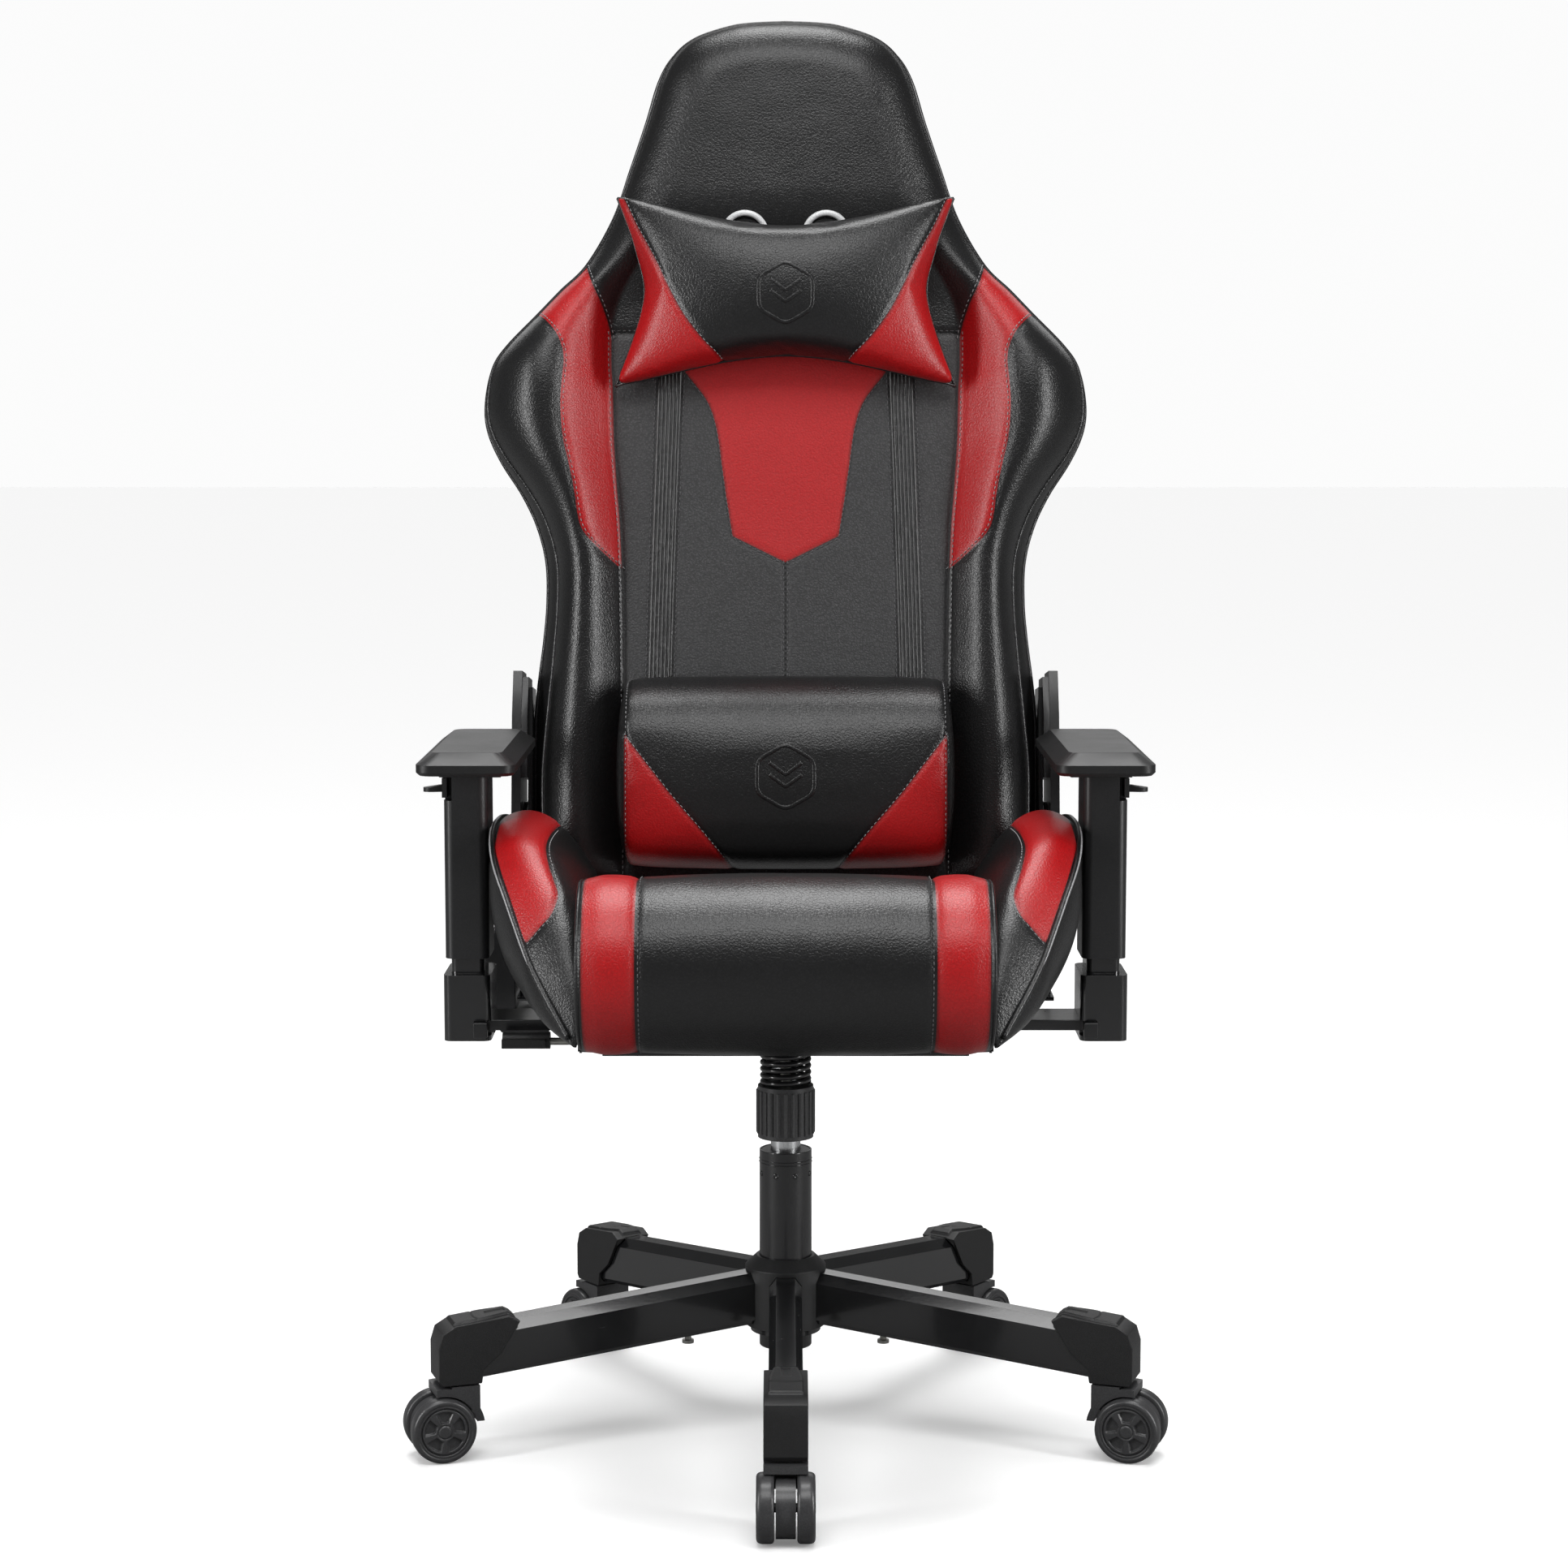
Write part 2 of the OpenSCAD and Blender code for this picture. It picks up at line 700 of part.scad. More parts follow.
module lumbar_pillow() {
  color(BLACK) in_back() intersection() {
    hull() {
      both_sides() translate([128, -96, 128]) sphere(r = 32, $fn = 28);
      both_sides() translate([128, -96, 4]) sphere(r = 34, $fn = 28);
      both_sides() translate([138, -96, 66]) sphere(r = 28, $fn = 28);
    }
    span([-166, -150, -40], [166, -foam_t - 3.5, 170]);
  }
}

// ---- Arms ----

module rounded_bar(w, d, h, r) {
  linear_extrude(h) offset(r = r, $fn = 32) square([w - 2 * r, d - 2 * r], center = true);
}

module arm_bracket(s) {
  inner = arm_x - post_w / 2;
  color(BLACK) side(s) difference() {
    union() {
      span([185, arm_y - 30, 378], [inner + 6, arm_y + 30, 388]);
      span([140, arm_y - 30, 387], [200, arm_y + 30, frame_z]);
      span([inner - 4, arm_y - 48, 374], [inner + 9, arm_y - 38, 388]);
      span([inner - 4, arm_y - 48, 378], [inner - 2, arm_y - 25, 388]);
    }
    for (y = [-17, 17]) translate([168, arm_y + y, 380]) cylinder(r = 4.25, h = 20);
  }
}

module arm_post(s) {
  color(BLACK) side(s) translate([arm_x, arm_y, 0]) difference() {
    union() {
      translate([0, 0, socket_bottom]) rounded_bar(44, 74, socket_top - socket_bottom, 8);
      translate([0, 0, socket_top - 1]) rounded_bar(post_w, post_d, 125, 6);
    }
    span([-40, -30.2, 377.8], [-post_w / 2 + 6.2, 30.2, 388.2]);
    span([-40, -60, 373.8], [-post_w / 2 + 9.2, -24.8, 388.2]);
  }
}

module arm_sleeve(s) {
  color(BLACK) side(s) translate([arm_x, arm_y, 0]) difference() {
    union() {
      translate([0, 0, sleeve_bottom]) rounded_bar(sleeve_w, sleeve_d, sleeve_top - sleeve_bottom, 9);
      translate([-9, 0, sleeve_top]) span([-28, -80, 0], [28, 80, 6]);
    }
    translate([0, 0, sleeve_bottom - 1]) rounded_bar(post_w + 0.3, post_d + 0.3, 128, 6);
    span([post_w / 2 - 3, -34, trigger_z - 12], [30, -14, trigger_z + 12]);
  }
}

module arm_trigger(s) {
  color(BLACK) side(s) translate([arm_x, arm_y, trigger_z]) {
    span([post_w / 2 + 1.5, -33.5, -9], [sleeve_w / 2 + 1, -14.5, 9]);
    hull() {
      translate([sleeve_w / 2 + 1, -24, -4]) cylinder(r = 5, h = 6, $fn = 32);
      translate([sleeve_w / 2 + 12, -24, -4]) cylinder(r = 7, h = 4, $fn = 32);
    }
  }
}

module arm_pad(s) {
  module layer(w, l, r, h) {
    linear_extrude(h) offset(r = r, $fn = 32) square([w - 2 * r, l - 2 * r], center = true);
  }
  color(BLACK) side(s) translate([pad_x, arm_y, pad_bottom]) hull() {
    layer(pad_w - 6, pad_len - 6, 12, 0.1);
    translate([0, 0, 3]) layer(pad_w, pad_len, 14, 7);
    translate([0, 0, pad_top - pad_bottom - 1]) layer(pad_w - 26, pad_len - 30, 12, 1);
  }
}

base_star();
hub_cover();
leg_caps();
leg_screws();
caster_stems();
column_tube();
guide_bush();
thrust_bearing();
caster_hood(0);  // caster_hood_1
caster_hood(1);  // caster_hood_2
caster_hood(2);  // caster_hood_3
caster_hood(3);  // caster_hood_4
caster_hood(4);  // caster_hood_5
caster_wheels(0);  // caster_wheels_1
caster_wheels(1);  // caster_wheels_2
caster_wheels(2);  // caster_wheels_3
caster_wheels(3);  // caster_wheels_4
caster_wheels(4);  // caster_wheels_5
piston_rod();
pressure_cylinder();
mechanism_base();
tilt_pivot_pin();
tension_spring();
valve_pin();
lift_lever();
lift_lever_grip();
mechanism_plate();
tension_bolt();
tension_knob();
seat_frame();
seat_webbing();
seat_cushion();
seat_bolster(1);  // seat_bolster_left
seat_bolster(-1);  // seat_bolster_right
frame_bolts();
recliner_lower(1);  // recliner_lower_left
recliner_lower(-1);  // recliner_lower_right
recliner_housing();
arm_bracket(1);  // arm_bracket_left
arm_bracket(-1);  // arm_bracket_right
arm_post(1);  // arm_post_left
arm_post(-1);  // arm_post_right
arm_sleeve(1);  // arm_sleeve_left
arm_sleeve(-1);  // arm_sleeve_right
arm_pad(1);  // arm_pad_left
arm_pad(-1);  // arm_pad_right
arm_trigger(1);  // arm_trigger_left
arm_trigger(-1);  // arm_trigger_right
back_frame();
back_cushion();
back_rear_panel();
eyelet_rings();
head_pillow();
lumbar_pillow();
pillow_straps();
recliner_upper(1);  // recliner_upper_left
recliner_upper(-1);  // recliner_upper_right
recliner_cover(1);  // recliner_cover_left
recliner_cover(-1);  // recliner_cover_right
recline_handle();
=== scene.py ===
import math

import bpy
import numpy as np
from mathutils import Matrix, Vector
from mathutils.bvhtree import BVHTree
from mathutils.noise import noise


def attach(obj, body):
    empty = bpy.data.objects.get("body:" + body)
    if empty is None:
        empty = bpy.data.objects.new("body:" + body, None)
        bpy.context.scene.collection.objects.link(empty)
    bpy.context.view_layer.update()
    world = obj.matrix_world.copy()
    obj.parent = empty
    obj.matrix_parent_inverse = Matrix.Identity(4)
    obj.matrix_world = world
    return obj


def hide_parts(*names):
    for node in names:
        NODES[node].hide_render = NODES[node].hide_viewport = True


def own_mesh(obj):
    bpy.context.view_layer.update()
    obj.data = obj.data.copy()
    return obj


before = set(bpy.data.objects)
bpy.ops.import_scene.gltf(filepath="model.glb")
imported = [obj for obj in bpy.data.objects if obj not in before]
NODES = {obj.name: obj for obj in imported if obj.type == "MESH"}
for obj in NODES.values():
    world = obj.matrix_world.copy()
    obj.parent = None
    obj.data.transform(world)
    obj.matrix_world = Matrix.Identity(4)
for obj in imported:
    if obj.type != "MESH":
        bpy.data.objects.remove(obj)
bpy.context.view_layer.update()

MM = 0.001

# Lengths are in millimetres unless a line says otherwise. The backrest has axes of its own: x across,
# u up its board and d rearwards from its hinge, leaning back by LEAN.
HINGE_Y, HINGE_Z, LEAN = 213.0, 530.0, math.radians(8)
SIN, COS = math.sin(LEAN), math.cos(LEAN)
BACK_FRONT = np.array([0, -COS, SIN])  # towards the sitter
BACK_BOTTOM = -50.0
EYELET_X, EYELET_U, EYELET_HOLE = 40.0, 591.0, 19.0


# ---------------------------------------------------------------- lines and meshes

def back_point(x, u, d):
    """Millimetres in the backrest's own axes to metres in the frame."""
    x, u, d = np.broadcast_arrays(np.asarray(x, float), u, d)
    return np.stack([x, HINGE_Y + d * COS + u * SIN, HINGE_Z - d * SIN + u * COS], -1) * MM


def local_back(co):
    """Metres in the frame to millimetres in the backrest's own axes."""
    y, z = co[:, 1] / MM - HINGE_Y, co[:, 2] / MM - HINGE_Z
    return co[:, 0] / MM, y * SIN + z * COS, y * COS - z * SIN


def smoothstep(a, b, v):
    """Rises smoothly from 0 at a to 1 at b."""
    t = np.clip((np.asarray(v, float) - a) / (b - a), 0, 1)
    return t * t * (3 - 2 * t)


def edge_round(dist, radius):
    """Rises from 0 at the edge to 1 at radius, like a quarter of an ellipse."""
    t = np.clip(np.asarray(dist, float) / radius, 0, 1)
    return np.sqrt(np.maximum(1 - (1 - t) ** 2, 0))


def dip(dist, width):
    """A groove's depth at a distance from its line, as a share of its full depth."""
    return np.exp(-(dist / width) ** 2)


def unit(rows):
    """Rows of vectors, each at length 1."""
    return rows / np.maximum(np.linalg.norm(rows, axis=1, keepdims=True), 1e-12)


def circle(n):
    """The angles of n even steps round a circle."""
    return np.arange(n) * 2 * math.pi / n


def spline(points, per=8):
    """A smooth line through points (Catmull-Rom), per steps from one point to the next."""
    p = np.asarray(points, float)
    n = len(p)
    out = []
    t = np.arange(per)[:, None] / per
    for i in range(n - 1):
        a, b, c, d = p[max(i - 1, 0)], p[i], p[i + 1], p[min(i + 2, n - 1)]
        out.append(0.5 * (2 * b + (c - a) * t + (2 * a - 5 * b + 4 * c - d) * t ** 2
                          + (3 * b - a - 3 * c + d) * t ** 3))
    return np.concatenate(out + [p[-1:]])


def bezier(points, t):
    a, b, c, d = (np.asarray(p, float) for p in points)
    t = t[:, None]
    return a * (1 - t) ** 3 + 3 * b * t * (1 - t) ** 2 + 3 * c * t * t * (1 - t) + d * t ** 3


def lengths_along(line):
    return np.concatenate([[0], np.cumsum(np.linalg.norm(np.diff(line, axis=0), axis=1))])


def at_places(places, along, rows):
    """Rows given at the lengths along, read off at places."""
    return np.stack([np.interp(places, along, rows[:, k]) for k in range(rows.shape[1])], 1)


def resample(points, step, closed=False):
    """The line again, with points step apart."""
    p = np.asarray(points, float)
    if closed:
        p = np.vstack([p, p[:1]])
    along = lengths_along(p)
    count = max(2, int(round(along[-1] / step)) + 1)
    q = at_places(np.linspace(0, along[-1], count), along, p)
    return q[:-1] if closed else q


def mirrored(line):
    return np.asarray(line, float) * np.array([-1.0, 1.0])


def line_distance(pts, line):
    """Distance from each 2D point to a 2D polyline."""
    best = np.full(len(pts), 1e9)
    for a, b in zip(line[:-1], line[1:]):
        d = b - a
        t = np.clip(((pts - a) @ d) / max(d @ d, 1e-12), 0, 1)
        best = np.minimum(best, np.hypot(*(pts - a - t[:, None] * d).T))
    return best


def inside(pts, poly):
    """Which 2D points are in a closed 2D polygon."""
    x, y = pts.T
    result = np.zeros(len(pts), bool)
    for a, b in zip(poly, np.roll(poly, -1, 0)):
        crosses = (a[1] > y) != (b[1] > y)
        with np.errstate(divide="ignore", invalid="ignore"):
            result ^= crosses & (x < (b[0] - a[0]) * (y - a[1]) / (b[1] - a[1]) + a[0])
    return result


def signed_distance(pts, poly):
    """Distance to a closed polygon's edge, above 0 inside it."""
    closed = np.vstack([poly, poly[:1]])
    return np.where(inside(pts, poly), 1, -1) * line_distance(pts, closed)


def add_object(name, verts, faces, smooth=True):
    mesh = bpy.data.meshes.new(name)
    mesh.from_pydata([tuple(v) for v in np.asarray(verts, float)], [],
                     [tuple(int(i) for i in f) for f in faces])
    mesh.validate()
    mesh.update()
    if smooth:
        mesh.shade_smooth()
    obj = bpy.data.objects.new(name, mesh)
    bpy.context.scene.collection.objects.link(obj)
    return obj


def point_values(mesh, field="co"):
    """A mesh's points, or their normals, as rows."""
    rows = np.empty(len(mesh.vertices) * 3, np.float32)
    mesh.vertices.foreach_get(field, rows)
    return rows.reshape(-1, 3).astype(float)


def set_coords(obj, co):
    obj.data.vertices.foreach_set("co", np.asarray(co, np.float32).ravel())
    obj.data.update()


def grooved(obj, amount):
    """Sinks a piece's points along their normals by amount, in metres."""
    set_coords(obj, point_values(obj.data) - point_values(obj.data, "normal") * np.asarray(amount)[:, None])


def set_panels(obj, red, seam, grey=None):
    """Stores what the panelled leather reads: how far inside the red and grey panels, and from a seam."""
    grey = np.full(len(red), -9.0) if grey is None else grey
    for name, values in (("panel_red", red), ("panel_grey", grey), ("seam_mm", seam)):
        layer = obj.data.attributes.new(name, "FLOAT", "POINT")
        layer.data.foreach_set("value", np.asarray(values, np.float32))


def finish_piece(obj, material, body, replaces=()):
    """Gives a piece its material and its body, and hides the nodes it replaces."""
    obj.data.materials.append(material)
    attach(obj, body)
    if replaces:
        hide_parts(*replaces)


def grid_faces(rows, cols, wrap, turn=1):
    """Quads of a grid of points; wrap joins the last column to the first, and turn -1 flips the quads."""
    r, c = np.meshgrid(np.arange(rows - 1), np.arange(cols if wrap else cols - 1), indexing="ij")
    d = (c + 1) % cols
    quads = np.stack([r * cols + c, r * cols + d, (r + 1) * cols + d, (r + 1) * cols + c], -1)
    return [list(f) for f in quads.reshape(-1, 4)[:, ::turn]]


def capped_faces(rows, cols, turn=1):
    """Faces of a closed tube of rows rings of cols points."""
    ends = [list(range(cols))[::-turn], list(range((rows - 1) * cols, rows * cols))[::turn]]
    return grid_faces(rows, cols, True, turn) + ends


def slab_faces(rows, cols):
    """Faces of a closed slab: a grid, the same grid behind it, and the rim between them."""
    base = rows * cols
    faces = grid_faces(rows, cols, False)
    faces += [[i + base for i in f][::-1] for f in faces]
    index = np.arange(base).reshape(rows, cols)
    rim = np.concatenate([index[:-1, 0], index[-1, :-1], index[:0:-1, -1], index[0, :0:-1]])
    return faces + [[j, i, i + base, j + base] for i, j in zip(rim, np.roll(rim, -1))]


def sweep(line, section, ups=None, closed=False):
    """Verts and faces of a 2D section carried along a 3D line."""
    p, s = np.asarray(line, float), np.asarray(section, float)
    n, m = len(p), len(s)
    t = unit(np.roll(p, -1, 0) - np.roll(p, 1, 0) if closed else np.gradient(p, axis=0))
    if ups is None:
        up = np.array([0, 0, 1.0]) if abs(t[0][2]) < 0.9 else np.array([1.0, 0, 0])
        frames = []
        for tangent in t:
            up = up - (up @ tangent) * tangent
            up /= np.linalg.norm(up)
            frames.append(up)
        up = np.array(frames)
    else:
        up = np.broadcast_to(np.asarray(ups, float), p.shape)
        up = unit(up - (up * t).sum(1)[:, None] * t)
    side = np.cross(t, up)
    verts = p[:, None] + (s[None, :, :1] * side[:, None] + s[None, :, 1:] * up[:, None])
    if closed:
        last = (n - 1) * m
        faces = grid_faces(n, m, True) + [[last + i, last + (i + 1) % m, (i + 1) % m, i] for i in range(m)]
    else:
        faces = capped_faces(n, m)
    return verts.reshape(-1, 3), faces


def circle_section(r, n):
    return np.stack([r * np.cos(circle(n)), r * np.sin(circle(n))], 1)


def tube(line, radius, n=10, closed=False, ups=None):
    return sweep(line, circle_section(radius, n), ups, closed)


def merged(name, parts, smooth=True):
    """One object of several (verts, faces) pairs."""
    verts, faces, base = [], [], 0
    for v, f in parts:
        verts.append(np.asarray(v, float))
        faces += [[i + base for i in face] for face in f]
        base += len(v)
    return add_object(name, np.concatenate(verts), faces, smooth)


def trim_piece(name, parts, material, body, smooth=True):
    """A finished piece of several (verts, faces) pairs."""
    finish_piece(merged(name, parts, smooth), material, body)


STITCH, STITCH_GAP, THREAD_R = 3.2 * MM, 2.0 * MM, 0.42 * MM
# Along a stitch: place, share of the thread's radius, and sink in radii
STITCH_STATIONS = [(-0.5, 0.35, -0.9), (-0.32, 1, 0), (0.32, 1, 0), (0.5, 0.35, -0.9)]


def stitch_row(line, ups, lift=0.2 * MM):
    """Short thread lengths along a line; ups are the surface's directions at its points."""
    p = np.asarray(line, float)
    along = lengths_along(p)
    places = np.linspace(0, along[-1], max(2, round(along[-1] / (STITCH + STITCH_GAP))))
    mids = at_places(places, along, p)
    ups = at_places(places, along, np.broadcast_to(np.asarray(ups, float), p.shape))
    t = unit(np.gradient(mids, axis=0))
    ups = unit(ups - (ups * t).sum(1)[:, None] * t)
    side = np.cross(t, ups)
    n = 6
    ring = circle_section(1, n)
    verts = []
    for place, size, drop in STITCH_STATIONS:
        centre = mids + place * STITCH * t + (lift + drop * THREAD_R) * ups
        verts.append(centre[:, None] + THREAD_R * size * (ring[None, :, :1] * side[:, None]
                                                         + ring[None, :, 1:] * ups[:, None]))
    one = capped_faces(len(verts), n)
    step = len(verts) * n
    faces = [[i + step * k for i in f] for k in range(len(mids)) for f in one]
    return np.stack(verts, 1).reshape(-1, 3), faces


def baked(obj):
    """Applies an object's modifiers to its mesh."""
    mesh = bpy.data.meshes.new_from_object(obj.evaluated_get(bpy.context.evaluated_depsgraph_get()))
    old = obj.data
    obj.modifiers.clear()
    obj.data = mesh
    bpy.data.meshes.remove(old)
    mesh.shade_smooth()


def smoothed(obj, rounds):
    m = obj.modifiers.new("smooth", "SMOOTH")
    m.iterations, m.factor = rounds, 0.5
    baked(obj)


def puffed(obj, voxel, cap, pressure, frames, smooth):
    """Swells a closed form as stuffed cloth: remeshed, simulated under pressure, and capped (metres)."""
    m = obj.modifiers.new("remesh", "REMESH")
    m.mode, m.voxel_size = "VOXEL", voxel
    baked(obj)
    smoothed(obj, smooth)
    rest = point_values(obj.data)
    cloth = obj.modifiers.new("cloth", "CLOTH")
    c = cloth.settings
    c.quality = 5
    c.mass = 0.3
    c.tension_stiffness = c.compression_stiffness = 15.0
    c.bending_stiffness = 0.6
    c.use_pressure = True
    c.uniform_pressure_force = pressure
    c.effector_weights.gravity = 0
    cloth.collision_settings.use_collision = False
    scene = bpy.context.scene
    for f in range(1, frames + 1):
        scene.frame_set(f)
    swollen = obj.evaluated_get(bpy.context.evaluated_depsgraph_get())
    move = point_values(swollen.to_mesh()) - rest
    swollen.to_mesh_clear()
    obj.modifiers.clear()
    scene.frame_set(1)
    far = np.linalg.norm(move, axis=1, keepdims=True)
    set_coords(obj, rest + move * np.minimum(1, cap / np.maximum(far, 1e-9)))
    smoothed(obj, 1)
    sub = obj.modifiers.new("sub", "SUBSURF")
    sub.levels = sub.render_levels = 1
    baked(obj)


def surface_of(obj):
    return BVHTree.FromObject(obj, bpy.context.evaluated_depsgraph_get())


def cast(tree, starts, directions):
    """Where rays meet a surface, and the surface's directions there; rays that miss are left out."""
    points, ups = [], []
    for start, direction in zip(starts, np.broadcast_to(directions, starts.shape)):
        hit, normal, _, _ = tree.ray_cast(Vector(start), Vector(direction))
        if hit is not None:
            points.append(hit)
            ups.append(normal)
    return np.array(points), np.array(ups)


# ---------------------------------------------------------------- materials

class Shade:
    """A material's nodes, built one after another."""

    def __init__(self, name, roughness, metallic=0.0, specular=0.5, coat=0.0, coat_rough=0.2, sheen=0.0):
        self.mat = bpy.data.materials.new(name)
        self.mat.use_nodes = True
        self.tree = self.mat.node_tree
        self.bsdf = self.tree.nodes["Principled BSDF"]
        values = {"Roughness": roughness, "Metallic": metallic, "Specular IOR Level": specular,
                  "Coat Weight": coat, "Coat Roughness": coat_rough, "Sheen Weight": sheen}
        for key, value in values.items():
            self.bsdf.inputs[key].default_value = value
        self.where = self.node("ShaderNodeTexCoord").outputs["Object"]

    def node(self, kind, **settings):
        n = self.tree.nodes.new(kind)
        for key, value in settings.items():
            setattr(n, key, value)
        return n

    def put(self, value, socket):
        """Links a node's output to a socket, or sets the socket to a number or colour."""
        if isinstance(value, bpy.types.NodeSocket):
            self.tree.links.new(value, socket)
        else:
            socket.default_value = value

    def math(self, op, *values):
        n = self.node("ShaderNodeMath", operation=op)
        for value, socket in zip(values, n.inputs):
            self.put(value, socket)
        return n.outputs[0]

    def add(self, a, b):
        return self.math("ADD", a, b)

    def times(self, a, b):
        return self.math("MULTIPLY", a, b)

    def texture(self, kind, output, where=None, feature=None, **inputs):
        n = self.node(kind, feature=feature) if feature else self.node(kind)
        self.put(where or self.where, n.inputs["Vector"])
        for key, value in inputs.items():
            n.inputs[key].default_value = value
        return n.outputs[output]

    def noise(self, scale, detail=3.0, rough=0.55, where=None):
        return self.texture("ShaderNodeTexNoise", "Fac", where, Scale=scale, Detail=detail, Roughness=rough)

    def cells(self, scale, feature):
        return self.texture("ShaderNodeTexVoronoi", "Distance", feature=feature, Scale=scale, Randomness=1.0)

    def stretched(self, x, y, z):
        return self.texture("ShaderNodeMapping", "Vector", Scale=(x, y, z))

    def ramp(self, value, low, high, out_low=0.0, out_high=1.0):
        n = self.node("ShaderNodeMapRange")
        for v, s in zip((value, low, high, out_low, out_high), n.inputs):
            self.put(v, s)
        return n.outputs[0]

    def mix(self, fac, a, b):
        n = self.node("ShaderNodeMix", data_type="RGBA")
        self.put(fac, n.inputs[0])
        for v, s in ((a, n.inputs[6]), (b, n.inputs[7])):
            self.put(v if isinstance(v, bpy.types.NodeSocket) else (*v, 1.0), s)
        return n.outputs[2]

    def attribute(self, name):
        return self.node("ShaderNodeAttribute", attribute_name=name).outputs["Fac"]

    def colour(self, value):
        self.put(value, self.bsdf.inputs["Base Color"])

    def roughness(self, value):
        self.put(value, self.bsdf.inputs["Roughness"])

    def bump(self, height, strength, distance, under=None):
        n = self.node("ShaderNodeBump")
        self.put(strength, n.inputs["Strength"])
        n.inputs["Distance"].default_value = distance
        self.put(height, n.inputs["Height"])
        if under is not None:
            self.put(under, n.inputs["Normal"])
        self.put(n.outputs[0], self.bsdf.inputs["Normal"])
        return n.outputs[0]


BLACK_HIDE = (0.0065, 0.0065, 0.0068)
BLACK_WORN = (0.0180, 0.0180, 0.0186)
RED_HIDE = (0.440, 0.0045, 0.0065)
RED_DEEP = (0.340, 0.0030, 0.0045)
GREY_HIDE = (0.0235, 0.0235, 0.0243)
GREY_PEAK = (0.058, 0.058, 0.060)
# Painted shade: the dark colour that the leather takes on in the seams' grooves
SEAM_SHADE = (0.004, 0.004, 0.004)
HIDE_ROUGH, HIDE_BUMP = 0.335, 0.42


def leather(name, masks=False, black=BLACK_HIDE):
    """Pebbled faux leather; with masks it reads the coloured panels and seams that set_panels stores, and
    darkens the seams with painted shade.
    """
    s = Shade(name, 0.5, coat=0.10, coat_rough=0.30)
    pebble = s.cells(520, "F1")
    crease = s.cells(300, "DISTANCE_TO_EDGE")
    broad = s.noise(9)
    grain = s.add(s.times(s.ramp(pebble, 0.0, 0.75, 1.0, 0.0), 0.75), s.times(s.ramp(crease, 0.0, 0.16), 0.45))
    grain = s.add(grain, s.times(s.noise(1400, 2.0), 0.25))
    peak = s.ramp(grain, 0.55, 1.3)
    colour = s.mix(s.times(peak, 0.55), black, BLACK_WORN)
    rough, strength = HIDE_ROUGH, HIDE_BUMP
    if masks:
        grey = s.ramp(s.attribute("panel_grey"), -0.4, 0.4)
        red = s.ramp(s.attribute("panel_red"), -0.4, 0.4)
        colour = s.mix(grey, colour, s.mix(peak, GREY_HIDE, GREY_PEAK))
        red_tone = s.mix(s.times(s.ramp(grain, 0.25, 1.1), 0.9), RED_DEEP, RED_HIDE)
        colour = s.mix(red, colour, red_tone)
        rough = s.add(s.add(s.times(grey, 0.20), s.times(red, 0.06)), HIDE_ROUGH)
        strength = s.add(s.times(grey, 0.25), HIDE_BUMP)
        # Painted shade: the leather darkens within 3 mm of a seam, as if shaded in the groove
        colour = s.mix(s.ramp(s.attribute("seam_mm"), 0.0, 3.0, 0.45, 1.0), SEAM_SHADE, colour)
    s.colour(colour)
    rough = s.add(rough, s.times(s.math("SUBTRACT", broad, 0.5), 0.12))
    s.roughness(s.math("SUBTRACT", rough, s.times(peak, 0.05)))
    soft = s.bump(broad, 0.25, 0.004)
    s.bump(grain, strength, 0.00045, under=soft)
    return s.mat


def moulded(name, colour, rough, grain_scale, grain, coat=0.0, worn=0.5):
    """Moulded plastic with a spark-eroded texture and slightly rubbed high spots."""
    s = Shade(name, rough, coat=coat, coat_rough=0.15)
    speck = s.noise(grain_scale, 2.0, 0.6)
    light = tuple(c * (1 + worn) + 0.004 for c in colour)
    s.colour(s.mix(s.ramp(speck, 0.40, 0.72, 0.0, 0.8), colour, light))
    patch = s.add(s.times(speck, 0.5), s.times(s.noise(14), 0.5))
    s.roughness(s.ramp(patch, 0.3, 0.7, rough - 0.07, rough + 0.08))
    s.bump(speck, grain, 0.0003)
    return s.mat


def painted(name, colour, rough, coat, orange_peel=0.12):
    """Powder-coated steel: a smooth coat with a slight orange peel and faint handling marks."""
    s = Shade(name, rough, specular=0.6, coat=coat, coat_rough=0.08)
    smear = s.noise(11, 5.0, 0.65)
    scuff = s.noise(60, 8.0, 0.7, s.stretched(1, 1, 6))
    s.colour(s.mix(s.ramp(smear, 0.3, 0.7), colour, tuple(c * 1.45 + 0.002 for c in colour)))
    rubbed = s.ramp(scuff, 0.60, 0.78, 0.0, 0.12)
    s.roughness(s.add(s.ramp(smear, 0.3, 0.75, rough - 0.05, rough + 0.07), rubbed))
    s.bump(s.noise(420, 2.0, 0.5), orange_peel, 0.0004)
    return s.mat


def metal(name, colour, tint, rough, stretch, scratch):
    """Bare or plated metal with fine lines along its turning or drawing direction."""
    s = Shade(name, rough, metallic=1.0)
    lines = s.noise(260, 3.0, 0.6, s.stretched(*stretch))
    cloud = s.noise(35, 4.0)
    s.colour(s.mix(s.ramp(cloud, 0.3, 0.7), colour, tint))
    s.roughness(s.add(s.ramp(lines, 0.3, 0.7, rough - 0.04, rough + 0.08), s.ramp(cloud, 0.5, 0.8, 0.0, 0.06)))
    s.bump(lines, scratch, 0.0002)
    return s.mat


